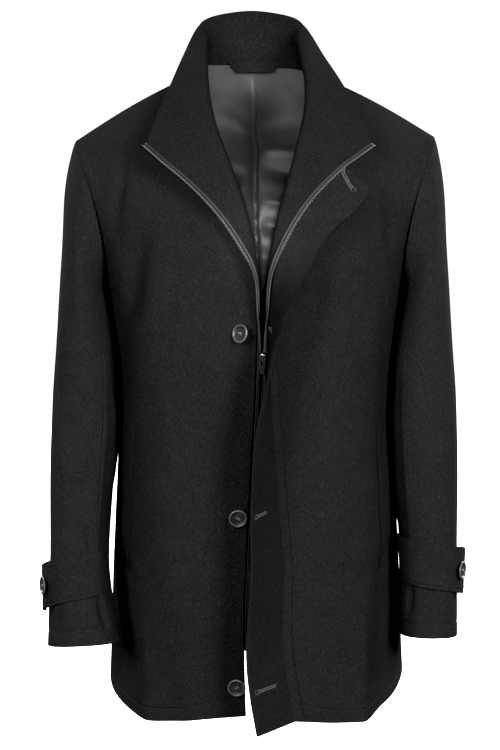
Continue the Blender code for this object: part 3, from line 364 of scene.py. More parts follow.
def front_row(side, level, count):
    """A row of a front from the side seam or armhole to the lapel's bed, or to the neck seam."""
    stop = front_inner(side, level)
    if level <= 1:
        height = height_of(level)
        square = row_at(BODY, height).square_front
        return bulge(side_seam(side, height), stop, square, square, count)
    row = row_at(FRONT_ROWS, level)
    return bulge(armhole(side, 180 * (2 - level)), stop, row.at_edge, row.at_middle, count)


def front_edge(side, level):
    """The rest of that row, from the lapel's bed to the cloth's edge, folded back above the break."""
    height = height_of(level)
    start = front_inner(side, level)
    across = middle_at(side, height) + side * EDGE_FROM_ZIP
    straight = unfolded(start, np.array([across, start[1], start[2]]))
    if height <= BREAK:
        return straight
    folded = over_roll(*lapel_at(side, level), FOLD_RADIUS)
    share = ease((height - BREAK) / (UNDERARM - BREAK))
    return straight + share * (folded - straight)


def rounded_shoulder(grid, levels):
    """Raise the rows near the shoulder seam into a soft curve between neck and sleeve."""
    share = (np.abs(grid[..., 0]) - NECK_POINT[0]) / (SHOULDER_END - NECK_POINT[0])
    near = ease((np.array(levels) - LEVEL_GORGE) / (2 - LEVEL_GORGE))
    grid[..., 2] += SHOULDER_ROUND * near[:, None] * np.sin(math.pi * np.clip(share, 0.0, 1.0))


def softened(grid, rounds):
    """The same grid with its inner points drawn towards their neighbours."""
    grid = grid.copy()
    for _ in range(rounds):
        beside = grid[:-2, 1:-1] + grid[2:, 1:-1] + grid[1:-1, :-2] + grid[1:-1, 2:]
        grid[1:-1, 1:-1] = (grid[1:-1, 1:-1] + beside / 4) / 2
    return grid


def outward(grid, flip=False, keep=None):
    """Outward normals at the points of a grid, from the cells that are kept."""
    cell = np.cross(grid[1:, 1:] - grid[:-1, :-1], grid[1:, :-1] - grid[:-1, 1:])
    if keep is not None:
        cell = cell * keep[..., None]
    push = np.zeros_like(grid)
    for down in (slice(None, -1), slice(1, None)):
        for over in (slice(None, -1), slice(1, None)):
            push[down, over] += cell
    size = np.linalg.norm(push, axis=2, keepdims=True)
    size[size == 0] = 1.0
    return (-push if flip else push) / size


def crease_push(across, height, creases):
    """How far soft creases push the points of a cloth out, fading towards both ends of each."""
    push = np.zeros(across.shape)
    for crease in creases:
        way = np.array([crease.across_low - crease.across_top, crease.low - crease.top])
        long = np.hypot(*way)
        way /= long
        sideways = across - crease.across_top
        upwards = height - crease.top
        share = np.clip((sideways * way[0] + upwards * way[1]) / long, 0.0, 1.0)
        off = sideways * way[1] - upwards * way[0]
        push += crease.size * np.sin(math.pi * share) ** 0.8 * np.exp(-((off / crease.width) ** 2))
    return push


def pushed(grid, by, flip=False, keep=None):
    """A grid moved outwards by a distance for each point."""
    return grid + outward(grid, flip, keep) * by[..., None]


def creased(grid, creases, side=1):
    """How far creases push a cloth of the body, placed by distance from the middle on one side."""
    return crease_push(side * grid[..., 0], grid[..., 2], creases)


def mesh_object(name, points, faces, finish):
    """A mesh of one finish, put into the scene."""
    mesh = bpy.data.meshes.new(name)
    mesh.from_pydata(np.asarray(points).tolist(), [], faces)
    mesh.materials.append(finish)
    made = bpy.data.objects.new(name, mesh)
    bpy.context.scene.collection.objects.link(made)
    return made


def piece(name, points, faces, finish):
    """A smooth-shaded mesh that moves with the coat."""
    made = mesh_object(name, points, faces, finish)
    made.data.shade_smooth()
    made.data.update()
    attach(made, "coat")
    return made


def rounded(made, width, segments):
    """Round the sharp edges of a mesh."""
    edge = made.modifiers.new("rounded edge", "BEVEL")
    edge.width = width
    edge.segments = segments
    edge.limit_method = "ANGLE"
    return edge


RIM_ROUND = 0.42  # share of a cloth's thickness
RIM_ANGLE = math.radians(55)


def cloth(name, grid, near, far, finish, flip=False, keep=None, relief=0.0):
    """A thin closed shell between two distances from a grid, its rim rounded; relief shapes its near face."""
    rows, columns = grid.shape[:2]
    if keep is None:
        keep = np.ones((rows - 1, columns - 1), bool)
    normals = outward(grid, flip, keep)
    index = np.arange(rows * columns).reshape(rows, columns)
    quads = np.stack([index[:-1, :-1], index[:-1, 1:], index[1:, 1:], index[1:, :-1]], axis=2)[keep]
    used = np.unique(quads)
    place = np.zeros(rows * columns, int)
    place[used] = np.arange(len(used))
    quads = place[quads if not flip else quads[:, ::-1]]
    edges = {(a, b) for quad in quads.tolist() for a, b in zip(quad, quad[1:] + quad[:1])}
    rim = [(a, b) for a, b in edges if (b, a) not in edges]
    shift = len(used)
    faces = quads.tolist() + (quads[:, ::-1] + shift).tolist()
    faces += [[b, a, a + shift, b + shift] for a, b in sorted(rim)]
    near_face = grid + normals * np.broadcast_to(near + relief, (rows, columns))[..., None]
    far_face = grid + normals * far
    points = np.concatenate([near_face.reshape(-1, 3)[used], far_face.reshape(-1, 3)[used]])
    made = piece(name, points, faces, finish)
    edge = rounded(made, RIM_ROUND * float(np.min(near - far)), 3)
    edge.angle_limit = RIM_ANGLE
    edge.use_clamp_overlap = False
    edge.harden_normals = True
    return made


def feed(tree, node, values):
    """Set inputs of a node, by name or number, to values or link them to other nodes' outputs."""
    for key, value in values.items():
        if isinstance(value, bpy.types.NodeSocket):
            tree.links.new(value, node.inputs[key])
        else:
            node.inputs[key].default_value = value


def put(tree, kind, values, output=0, **settings):
    """A node with its settings and inputs. Gives one of its outputs, or the node itself for None."""
    node = tree.nodes.new(kind)
    for key, value in settings.items():
        setattr(node, key, value)
    feed(tree, node, values)
    return node if output is None else node.outputs[output]


def noise(tree, place, scale, detail, **values):
    return put(tree, "ShaderNodeTexNoise", {"Vector": place, "Scale": scale, "Detail": detail, **values})


def mixed(tree, factor, dark, light):
    """A colour between two; inputs 6 and 7 and output 2 are the node's colours."""
    return put(tree, "ShaderNodeMix", {"Factor": factor, 6: dark, 7: light}, 2, data_type="RGBA")


def new_material(name):
    """A material with only its main shader, and its node tree."""
    made = bpy.data.materials.new(name)
    made.use_nodes = True
    return made, made.node_tree


# Felted wool: a faint slanted grain, mottled yarns and pale flecks of fibre
felt = bpy.data.node_groups.new("felted_wool", "ShaderNodeTree")
for name, kind, way in (
    ("Dark Yarn", "Color", "INPUT"),
    ("Light Yarn", "Color", "INPUT"),
    ("Fleck", "Color", "INPUT"),
    ("Fleck Share", "Float", "INPUT"),
    ("Color", "Color", "OUTPUT"),
    ("Roughness", "Float", "OUTPUT"),
    ("Height", "Float", "OUTPUT"),
):
    felt.interface.new_socket(name=name, socket_type=f"NodeSocket{kind}", in_out=way)
entry = put(felt, "NodeGroupInput", {}, None).outputs
place = put(felt, "ShaderNodeTexCoord", {}, "Object")
slant = put(felt, "ShaderNodeMapping", {
    "Vector": place, "Rotation": (0.0, math.radians(38), 0.0), "Scale": (1.0, 1.0, 0.45)})
yarn = noise(felt, slant, 600.0, 3.0, Roughness=0.7)
fibre = noise(felt, slant, 820.0, 2.0, Roughness=0.7)
cloud = noise(felt, place, 34.0, 3.0)
mottle = put(felt, "ShaderNodeMapRange", {"Value": yarn, "From Min": 0.32, "From Max": 0.68})
drift = put(felt, "ShaderNodeMath", {0: cloud, 1: 0.5, 2: mottle}, operation="MULTIPLY_ADD")
centred = put(felt, "ShaderNodeMath", {0: drift, 1: 0.25}, operation="SUBTRACT", use_clamp=True)
speck = put(felt, "ShaderNodeMapRange", {"Value": fibre, "From Min": 0.55, "From Max": 0.70})
share = put(felt, "ShaderNodeMath", {0: speck, 1: entry["Fleck Share"]}, operation="MULTIPLY")
blend = mixed(felt, centred, entry["Dark Yarn"], entry["Light Yarn"])
put(felt, "NodeGroupOutput", {
    "Color": mixed(felt, share, blend, entry["Fleck"]),
    "Roughness": put(felt, "ShaderNodeMapRange", {"Value": yarn, "To Min": 0.84, "To Max": 1.0}),
    "Height": put(felt, "ShaderNodeMath", {0: fibre, 1: 0.6, 2: yarn}, operation="MULTIPLY_ADD"),
}, None)


def wool_finish(name, dark, light, fleck_share):
    """Wool cloth of a given shade, matt with a faint bloom where it turns away."""
    made, tree = new_material(name)
    yarns = {"Dark Yarn": dark, "Light Yarn": light, "Fleck": WOOL_FLECK, "Fleck Share": fleck_share}
    surface = put(tree, "ShaderNodeGroup", yarns, None, node_tree=felt).outputs
    relief = {"Height": surface["Height"], "Strength": 0.5, "Distance": 0.0006}
    feed(tree, tree.nodes["Principled BSDF"], {
        "Base Color": surface["Color"],
        "Roughness": surface["Roughness"],
        "Normal": put(tree, "ShaderNodeBump", relief),
        "Specular IOR Level": 0.06,
        "Sheen Weight": 0.006,
        "Sheen Roughness": 0.5,
    })
    return made


charcoal = wool_finish("charcoal_wool", WOOL_DARK, WOOL_LIGHT, 0.32)

WELT_LEVELS = [0.374, 0.46, 0.54, 0.62, 0.70]
ZIP_LEVEL = (ZIP_END - HEM) / (UNDERARM - HEM)
SHOULDER_LEVEL = 1.998  # just short of the shoulder seam
FRONT_LEVELS = [0.0, ZIP_LEVEL, 0.25, *WELT_LEVELS, 0.80, 0.889, 0.917, 0.945, 0.972, 1.0, 1.05, 1.1]
FRONT_LEVELS += [1.17, 1.25, 1.33, 1.42, LEVEL_GORGE, 1.6, 1.7, 1.8, 1.9, SHOULDER_LEVEL]
FLAT_COLUMNS = 12
FINER = 4
BED = (FLAT_COLUMNS - 1) * FINER  # the column of the lapel's bed
HEM_STITCH = 0.040
STITCH_DEEP = 0.0010  # how far a row of stitches draws the cloth in
SEAM_DEEP = 0.0011
SEAM_FADE = 5.0  # columns over which creases fade out towards a seam
TOP_FADE = 0.1  # levels over which they fade out towards the shoulder
FOLDS_TO = 0.75  # share of a front's width from which folds fade out towards the lapel's bed
STITCH_ROWS = HEM_STITCH + np.array([-0.0034, 0.0, 0.0034])
fine_levels = np.concatenate([
    np.linspace(0.0, 1.0, 86),
    np.linspace(1.0, LEVEL_GORGE, 28)[1:],
    np.linspace(LEVEL_GORGE, SHOULDER_LEVEL, 34)[1:],
    STITCH_ROWS,
])
fine_levels = np.unique(fine_levels)
gorge_row = int(np.searchsorted(fine_levels, LEVEL_GORGE))
hem_stitch_row = int(np.searchsorted(fine_levels, HEM_STITCH))
top_fade = ease((SHOULDER_LEVEL - fine_levels) / TOP_FADE)[:, None]


def low_share(grid):
    """How much of the hem's drop reaches each point."""
    return np.clip((HEM_DROP_FROM - grid[..., 2]) / (HEM_DROP_FROM - HEM), 0.0, 1.0) ** 2


def front_grid(side):
    """All rows of a front, closely spaced. Above the gorge only the columns up to the bed are cloth."""
    grid = np.array([
        np.concatenate([front_row(side, level, FLAT_COLUMNS), front_edge(side, min(level, LEVEL_GORGE))[1:]])
        for level in FRONT_LEVELS
    ])
    flat = grid[:, :FLAT_COLUMNS]
    rounded_shoulder(flat, FRONT_LEVELS)
    flat[:, :-1] = softened(flat[:, :-1], 4)
    fade = 1 - ease((np.linspace(0.0, 1.0, FLAT_COLUMNS) - FOLDS_TO) / (1 - FOLDS_TO))
    flat[:] = pushed(flat, creased(flat, FRONT_FOLDS[side], side) * fade, side > 0)
    grid[..., 2] -= low_share(grid) * look_up(HEM_DROP[side], "fall", np.abs(grid[..., 0]))
    flat = columns_at(flat, np.linspace(0.0, FLAT_COLUMNS - 1, BED + 1))
    flat = refined(flat, FRONT_LEVELS, fine_levels)
    folded = FRONT_LEVELS.index(LEVEL_GORGE) + 1
    edge = refined(grid[:folded, FLAT_COLUMNS:], FRONT_LEVELS[:folded], fine_levels[: gorge_row + 1])
    above = np.repeat(edge[-1:], len(fine_levels) - gorge_row - 1, axis=0)
    return np.concatenate([flat, np.concatenate([edge, above])], axis=1)


SIDES = ((-1, "right"), (1, "left"))
fronts = {}
front_normals = {}
for side, word in SIDES:
    grid = front_grid(side)
    columns = np.arange(grid.shape[1])
    front_keep = np.ones((grid.shape[0] - 1, grid.shape[1] - 1), bool)
    front_keep[gorge_row:, BED:] = False
    push = creased(grid, FRONT_CREASES[side], side)
    push *= ease(columns / SEAM_FADE) * top_fade * np.clip((BED - 1 - columns) / FINER, 0.0, 1.0)
    fronts[side] = pushed(grid, push, side > 0, front_keep)
    front_normals[side] = outward(fronts[side], side > 0, front_keep)
    groove = np.zeros(grid.shape[:2])
    groove[hem_stitch_row] = -STITCH_DEEP
    groove[fine_levels > 1.0, 0] = -SEAM_DEEP
    made = cloth(f"front_{word}_cloth", fronts[side], 0.0, -WOOL, charcoal, side > 0, front_keep, groove)
    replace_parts(made, f"front_{word}")

# Back
# One panel of the same wool from side seam to side seam, up to the shoulder and neck seams. It hangs in
# three broad soft folds below the waist, with its hem turned up and stitched as on the fronts.
Rise = namedtuple("Rise", "level depth height")
BACK_ROWS = [
    Rise(1.0, 0.134, UNDERARM),
    Rise(1.25, 0.138, -0.200),
    Rise(1.5, 0.136, -0.125),
    Rise(1.75, 0.119, -0.050),
    Rise(2.0, *NECK_BACK),
]
BACK_LEVELS = [0.0, 0.14, 0.28, 0.42, 0.56, 0.70, 0.84, 1.0, 1.12, 1.24, 1.36, 1.5, 1.62, 1.74, 1.85, 1.93]
BACK_LEVELS += [SHOULDER_LEVEL]
BACK_COLUMNS = 12
SEAM_TRIM = 0.0004
BACK_SQUARE = (2.4, 1.8)  # how square its rows are at the underarm and at the top
RISE_FROM = 1.55  # the level from which its rows rise to the shoulder and neck seams
SIDE_DROP_FROM = 0.10
SIDE_DROP_OVER = 0.10
BACK_FOLDS = [
    Crease(-0.095, -0.420, -0.110, -0.900, 0.028, -0.0050),
    Crease(0.085, -0.380, 0.100, -0.900, 0.030, -0.0050),
    Crease(0.000, -0.520, 0.004, -0.900, 0.034, 0.0050),
]
BACK_CREASES = [
    Crease(-0.165, -0.180, -0.120, -0.330, 0.012, -0.0024),
    Crease(0.170, -0.190, 0.118, -0.350, 0.013, -0.0026),
    Crease(-0.150, -0.640, -0.158, -0.880, 0.012, 0.0026),
    Crease(0.145, -0.600, 0.160, -0.880, 0.013, 0.0024),
    Crease(-0.060, -0.020, 0.050, -0.034, 0.012, -0.0014),
    Crease(-0.045, -0.500, -0.052, -0.880, 0.014, 0.0016),
    Crease(0.052, -0.560, 0.048, -0.880, 0.014, -0.0018),
]


def shoulder_and_neck(side, x):
    """The shoulder seam and back neck seam of one side at given distances from the middle."""
    shoulder = armhole(side, 0) * (side, 1, 1)
    neck = np.array(NECK_POINT)
    share = np.clip((x - neck[0]) / (shoulder[0] - neck[0]), 0.0, 1.0)
    seam = neck + share[:, None] * (shoulder - neck)
    turn = np.arccos(np.clip(x / neck[0], 0.0, 1.0))
    seam[:, 0] = side * x
    seam[:, 1] += (NECK_BACK[0] - neck[1]) * np.sin(turn)
    seam[:, 2] += (NECK_BACK[1] - neck[2]) * np.sin(turn)
    return seam


def back_half(side, level, count):
    """One half of a back row, from the side seam or armhole to the middle."""
    if level <= 1:
        height = height_of(level)
        body = row_at(BODY, height)
        stop = np.array([0.0, body.back, height])
        return bulge(side_seam(side, height), stop, body.square_back, body.square_back, count)
    middle = row_at(BACK_ROWS, level)
    full = BACK_SQUARE[0] + (BACK_SQUARE[1] - BACK_SQUARE[0]) * ease(level - 1)
    row = bulge(armhole(side, 180 * level), np.array([0.0, middle.depth, middle.height]), full, full, count)
    top_share = ease((level - RISE_FROM) / (2 - RISE_FROM)) ** 1.5
    if top_share > 0:
        arch = bulge(armhole(side, 0), np.array([0.0, *NECK_BACK]), BACK_SQUARE[1], BACK_SQUARE[1], count)
        row = row + top_share * (shoulder_and_neck(side, np.abs(arch[:, 0])) - arch)
    return row


def back_grid():
    rows = []
    for level in BACK_LEVELS:
        halves = [spaced(back_half(s, level, 3 * BACK_COLUMNS), BACK_COLUMNS, SEAM_TRIM) for s in (1, -1)]
        rows.append(np.concatenate([halves[0], halves[1][::-1][1:]]))
    grid = np.array(rows)
    rounded_shoulder(grid, BACK_LEVELS)
    grid = softened(grid, 4)
    grid = pushed(grid, creased(grid, BACK_FOLDS))
    fall = np.where(grid[..., 0] > 0, HEM_DROP[1][-1].fall, HEM_DROP[-1][-1].fall)
    near_side = ease((np.abs(grid[..., 0]) - SIDE_DROP_FROM) / SIDE_DROP_OVER)
    grid[..., 2] -= low_share(grid) * fall * near_side
    last = grid.shape[1] - 1
    return refined(columns_at(grid, np.linspace(0, last, FINER * last + 1)), BACK_LEVELS, fine_levels)


def from_ends(count):
    """Steps from the nearer end of a row, for each of its points."""
    return np.minimum(np.arange(count), np.arange(count)[::-1])


plain_back = back_grid()
push = creased(plain_back, BACK_CREASES) * top_fade
back = pushed(plain_back, push * ease(from_ends(plain_back.shape[1]) / SEAM_FADE))
back_normals = outward(back)
groove = np.zeros(back.shape[:2])
groove[hem_stitch_row] = -STITCH_DEEP
made = cloth("back_cloth", back, 0.0, -WOOL, charcoal, relief=groove)
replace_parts(made, "back")

# Side seams
# Inside each side seam the raw edges of front and back are pressed open into a flat strip of wool, from the
# underarm to the hem.
SEAM_INSIDE = 0.0007
below_arm = fine_levels <= 1.0
back_inside = (back - back_normals * (WOOL + SEAM_INSIDE))[below_arm]


def quads_of(rows, columns, closed=False):
    """Faces between neighbouring rows of points; closed joins the last column to the first."""
    beside = [(c, (c + 1) % columns) for c in range(columns if closed else columns - 1)]
    return [[r * columns + a, r * columns + b, (r + 1) * columns + b, (r + 1) * columns + a]
            for r in range(rows - 1) for a, b in beside]


for side, word in SIDES:
    front_part = (fronts[side] - front_normals[side] * (WOOL + SEAM_INSIDE))[below_arm, :3]
    back_part = back_inside[:, :3] if side > 0 else back_inside[:, :-4:-1]
    middle = (front_part[:, :1] + back_part[:, :1]) / 2
    strip = np.concatenate([front_part[:, :0:-1], middle, back_part[:, 1:]], axis=1)
    piece(f"side_seam_{word}", strip.reshape(-1, 3), quads_of(*strip.shape[:2]), charcoal)

# Sleeves
# Two-piece sleeves of the wool, a top and an under sleeve joined by a front and a back seam, pressed flat
# down the front and set into the armholes. They break softly at the elbow and below the straps.
Ring = namedtuple("Ring", "out forward height reach depth tilt lean square")
SLEEVE_TOP = [
    Ring(0.2294, 0.001, -0.2060, 0.0815, 0.0660, 69.4, 0, 2.0),
    Ring(0.2310, 0.003, -0.2475, 0.0546, 0.0700, 56.0, 0, 2.1),
    Ring(0.2325, 0.008, -0.2975, 0.0434, 0.0720, 38.6, 3, 2.3),
    Ring(0.2318, 0.016, -0.3575, 0.0415, 0.0710, 18.4, 6, 2.5),
    Ring(0.2333, 0.030, -0.4300, 0.0437, 0.0680, 4.0, 9, 2.7),
]
SLEEVE_END = {
    -1: [
        Ring(0.2369, 0.055, -0.5300, 0.0424, 0.0630, 0.0, 13, 2.8),
        Ring(0.2387, 0.088, -0.6300, 0.0389, 0.0570, 0.0, 15, 2.8),
        Ring(0.2309, 0.126, -0.7420, 0.0487, 0.0520, -3.0, 14, 2.4),
    ],
    1: [
        Ring(0.2366, 0.048, -0.5300, 0.0425, 0.0640, 0.0, 10, 2.8),
        Ring(0.2395, 0.068, -0.6300, 0.0383, 0.0590, 0.0, 11, 2.8),
        Ring(0.2407, 0.090, -0.7410, 0.0377, 0.0560, 0.0, 11, 2.6),
    ],
}
TOP_SLEEVE = (-80, 125)  # degrees round the sleeve from its outer side, forwards
UNDER_SLEEVE = (125, 280)
CUFF_STITCH = 0.020
CAP_FADE = 0.03  # length over which creases fade out towards the armhole
CUFF_ROWS = 22  # rows at the end that the cuff lining covers

# Creases of a sleeve: degrees round it and height of both ends; degrees count as a millimetre each
SLEEVE_CREASES = {
    -1: [
        Crease(0.050, -0.180, 0.075, -0.330, 0.011, -0.0026),
        Crease(0.160, -0.230, 0.168, -0.400, 0.035, 0.0062),
        Crease(0.150, -0.300, 0.180, -0.470, 0.040, 0.0042),
        Crease(0.165, -0.410, 0.178, -0.545, 0.035, 0.0050),
        Crease(0.048, -0.240, 0.050, -0.720, 0.006, 0.0026),
        Crease(0.026, -0.260, 0.030, -0.680, 0.009, -0.0044),
        Crease(0.132, -0.340, 0.130, -0.640, 0.006, 0.0022),
        Crease(0.062, -0.430, 0.122, -0.480, 0.010, -0.0026),
        Crease(0.030, -0.480, 0.110, -0.520, 0.012, 0.0016),
        Crease(0.104, -0.575, 0.120, -0.632, 0.007, -0.0050),
        Crease(0.124, -0.670, 0.140, -0.716, 0.008, -0.0058),
        Crease(0.060, -0.676, 0.050, -0.722, 0.008, -0.0026),
        Crease(0.200, -0.410, 0.270, -0.470, 0.012, -0.0034),
        Crease(0.210, -0.470, 0.275, -0.520, 0.012, -0.0030),
        Crease(-0.060, -0.380, -0.020, -0.450, 0.014, -0.0024),
    ],
    1: [
        Crease(0.050, -0.180, 0.078, -0.330, 0.011, -0.0026),
        Crease(0.160, -0.230, 0.168, -0.400, 0.035, 0.0058),
        Crease(0.150, -0.300, 0.180, -0.480, 0.040, 0.0050),
        Crease(0.165, -0.410, 0.175, -0.600, 0.035, 0.0046),
        Crease(0.165, -0.640, 0.175, -0.800, 0.035, 0.0034),
        Crease(0.048, -0.240, 0.050, -0.720, 0.006, 0.0026),
        Crease(0.028, -0.260, 0.030, -0.680, 0.011, -0.0022),
        Crease(0.130, -0.340, 0.130, -0.640, 0.006, 0.0020),
        Crease(0.060, -0.420, 0.125, -0.470, 0.011, -0.0024),
        Crease(0.035, -0.470, 0.110, -0.515, 0.012, 0.0014),
        Crease(0.128, -0.660, 0.142, -0.704, 0.008, -0.0050),
        Crease(0.080, -0.560, 0.070, -0.604, 0.008, -0.0030),
        Crease(0.205, -0.420, 0.272, -0.480, 0.012, -0.0034),
        Crease(0.215, -0.480, 0.270, -0.530, 0.012, -0.0028),
        Crease(-0.060, -0.390, -0.020, -0.460, 0.014, -0.0022),
    ],
}


def loft(sections, places, at):
    """A surface through sections with the same number of points, read at the given places."""
    sections = np.asarray(sections, float)
    flat = sections.reshape(len(sections), -1)
    rows = np.stack([spline(places, flat[:, k], at) for k in range(flat.shape[1])], axis=1)
    return rows.reshape(len(at), *sections.shape[1:])


def ring_point(side, ring, degrees):
    turn = math.radians(degrees)
    c = math.copysign(abs(math.cos(turn)) ** (2 / ring.square), math.cos(turn))
    s = math.copysign(abs(math.sin(turn)) ** (2 / ring.square), math.sin(turn))
    tilt = math.radians(ring.tilt)
    lean = math.radians(ring.lean)
    x = ring.out + ring.reach * c * math.cos(tilt)
    y = -ring.forward - ring.depth * s * math.cos(lean)
    z = ring.height + ring.reach * c * math.sin(tilt) + ring.depth * s * math.sin(lean)
    return np.array([side * x, y, z])


def sleeve_sections(side, angles):
    """The armhole and every ring at the given angles, and each section's distance down the sleeve."""
    rings = SLEEVE_TOP + SLEEVE_END[side]
    sections = [[armhole(side, a) for a in angles]]
    sections += [[ring_point(side, ring, a) for a in angles] for ring in rings]
    middles = [np.array(ARMHOLE_MIDDLE)] + [np.array([r.out, -r.forward, r.height]) for r in rings]
    steps = [np.linalg.norm(b - a) for a, b in zip(middles, middles[1:])]
    return np.array(sections), np.concatenate([[0.0], np.cumsum(steps)])


def evened(grid, rounds):
    """The same grid with its rows blended into their neighbours along the length."""
    grid = grid.copy()
    for _ in range(rounds):
        grid[1:-1] = (2 * grid[1:-1] + grid[:-2] + grid[2:]) / 4
    return grid


cuff_rows = {}
cuff_seats = {}
for side, word in SIDES:
    for part, angles in (
        ("top", np.linspace(*TOP_SLEEVE, 52)),
        ("under", np.linspace(*UNDER_SLEEVE, 38)),
    ):
        sections, places = sleeve_sections(side, angles)
        stitch = places[-1] - CUFF_STITCH
        down = np.linspace(0.0, places[-1], 110)
        down = np.unique(np.concatenate([down, stitch + np.array([-0.002, 0.0, 0.002])]))
        grid = evened(loft(sections, places, down), 14)
        push = crease_push(np.tile(angles / 1000.0, (len(down), 1)), grid[..., 2], SLEEVE_CREASES[side])
        grid = pushed(grid, push * ease(down / CAP_FADE)[:, None], side < 0)
        groove = np.where(np.isclose(down, stitch), -STITCH_DEEP, 0.0)[:, None]
        groove[0] = -SEAM_DEEP
        name = f"sleeve_{word}_{part}"
        made = cloth(f"{name}_cloth", grid, 0.0, -WOOL, charcoal, side < 0, relief=groove)
        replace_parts(made, name)
        cuff_rows[side, part] = grid[-CUFF_ROWS:]
        row = int(np.argmin(np.abs(down - stitch)))
        normal = outward(grid, side < 0)[row]
        cuff_seats[side, part] = (grid[row] - STITCH_DEEP * normal, normal)

# Back lining
# Grey satin inside the back, seen through the open neck, with a pleat down the middle for movement. It
# lies a little loose, so it ripples and catches the light unevenly; its colour is also painted lighter and
# darker in patches, a painted sheen.
LINING = 0.0010
SATIN_DARK = (0.060, 0.058, 0.059, 1.0)
SATIN_LIGHT = (0.142, 0.139, 0.140, 1.0)
PLEAT = 0.0085
NECK_EDGE = 0.0286  # its upper edge lies level here, under the collar
LINING_FROM = 0.14  # the level of its lower edge
LINING_LOOSE = 0.0045
PLEAT_SLOPES = (0.008, 0.0024)  # how softly the pleat falls off to its right and left
NECK_SEWN = (0.02, 0.03)  # it lies flat above the first height and is loose this far below it
PleatLine = namedtuple("PleatLine", "height out")
PLEAT_LINE = [
    PleatLine(-0.760, 0.004),
    PleatLine(-0.300, 0.004),
    PleatLine(-0.120, 0.0005),
    PleatLine(-0.090, 0.0020),
    PleatLine(-0.055, -0.0025),
    PleatLine(-0.020, -0.0015),
    PleatLine(0.030, -0.0055),
]
LINING_CREASES = [
    Crease(-0.060, -0.030, -0.008, -0.060, 0.009, -0.0042),
    Crease(0.072, -0.046, 0.006, -0.062, 0.010, 0.0052),
    Crease(0.080, -0.092, 0.010, -0.086, 0.009, -0.0046),
    Crease(-0.075, -0.120, -0.010, -0.130, 0.013, 0.0048),
    Crease(0.085, -0.128, 0.008, -0.118, 0.012, 0.0054),
    Crease(-0.070, -0.176, -0.012, -0.168, 0.011, -0.0050),
    Crease(0.060, -0.170, 0.008, -0.162, 0.009, -0.0048),
    Crease(0.060, -0.206, 0.006, -0.198, 0.010, 0.0050),
    Crease(-0.060, -0.240, 0.050, -0.250, 0.012, 0.0048),
    Crease(-0.050, -0.300, 0.060, -0.285, 0.010, -0.0044),
    Crease(-0.110, -0.380, 0.090, -0.400, 0.016, 0.0040),
]

satin, tree = new_material("grey_satin")
place = put(tree, "ShaderNodeTexCoord", {}, "Object")
thread = put(tree, "ShaderNodeMapping", {"Vector": place, "Scale": (1.0, 1.0, 0.06)})
rib = noise(tree, thread, 2600.0, 2.0)
# patches of dark and light satin a few centimetres across: painted sheen for the satin's uneven reflections;
# they also vary its roughness
bloom = noise(tree, place, 26.0, 3.0)
feed(tree, tree.nodes["Principled BSDF"], {
    "Base Color": mixed(tree, bloom, SATIN_DARK, SATIN_LIGHT),
    "Roughness": put(tree, "ShaderNodeMapRange", {"Value": bloom, "To Min": 0.34, "To Max": 0.50}),
    "Normal": put(tree, "ShaderNodeBump", {"Height": rib, "Strength": 0.25, "Distance": 0.0003}),
    "Specular IOR Level": 0.45,
    "Sheen Weight": 0.10,
})

lining = plain_back[int(np.searchsorted(fine_levels, LINING_FROM)) :, FINER:-FINER]
last = lining.shape[1] - 1
near_pleat = np.linspace(last / 2 - 5, last / 2 + 5, 91)
sides = np.linspace(0, near_pleat[0], 48)[:-1], np.linspace(near_pleat[-1], last, 48)[1:]
lining = columns_at(lining, np.concatenate([sides[0], near_pleat, sides[1]]))
below_neck = ease((NECK_SEWN[0] - lining[..., 2]) / NECK_SEWN[1])
from_pleat = lining[..., 0] - look_up(PLEAT_LINE, "out", lining[..., 2])
raised = np.exp(-np.abs(from_pleat) / np.where(from_pleat > 0, PLEAT_SLOPES[1], PLEAT_SLOPES[0]))
ripple = LINING_LOOSE + creased(lining, LINING_CREASES)
ripple *= ease(from_ends(lining.shape[1]) / 8.0)
lining = pushed(lining, -(ripple + PLEAT * raised) * below_neck)
neck_row = lining[-1].copy()
lift = np.maximum(NECK_EDGE - neck_row[:, 2], 0.0) * ease((0.075 - np.abs(neck_row[:, 0])) / 0.01)
near_neck = ease((lining[..., 2] - neck_row[:, 2] + 0.025) / 0.025)
lining[..., 2] += lift * near_neck
lining[..., 1] -= 0.0012 * near_neck
made = cloth("lining_back_cloth", lining, -WOOL - GAP, -WOOL - GAP - LINING, satin)
made.data.materials.append(charcoal)  # the wrong side, towards the back
for polygon in made.data.polygons:
    polygon.material_index = int(polygon.normal.y > 0)
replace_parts(made, "lining_back")

# Neck tab
# A small trapezoid of the wool, cut from one layer. It is sewn in under the collar at the middle of the back
# neck and hangs over the lining.
NeckTab = namedtuple("NeckTab", "top low deep thick off")
NECK_TAB = NeckTab(0.035, 0.024, 0.011, 0.0012, 0.0042)
TAB_TUCK = 0.002  # how far it reaches up behind the collar

tab = []
for deep in np.linspace(NECK_TAB.deep, -TAB_TUCK, 10):
    half = NECK_TAB.top + (NECK_TAB.low - NECK_TAB.top) * max(deep, 0.0) / NECK_TAB.deep
    edge = lining[-1][np.argsort(lining[-1, :, 0])]
    row = read_off(half * np.linspace(1.0, -1.0, 25), edge[:, 0], edge)
    row[:, 1] -= NECK_TAB.off
    row[:, 2] = NECK_EDGE - deep
    tab.append(row)
made = cloth("neck_tab_cloth", np.array(tab), 0.0, -NECK_TAB.thick, charcoal)
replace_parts(made, "neck_tab")

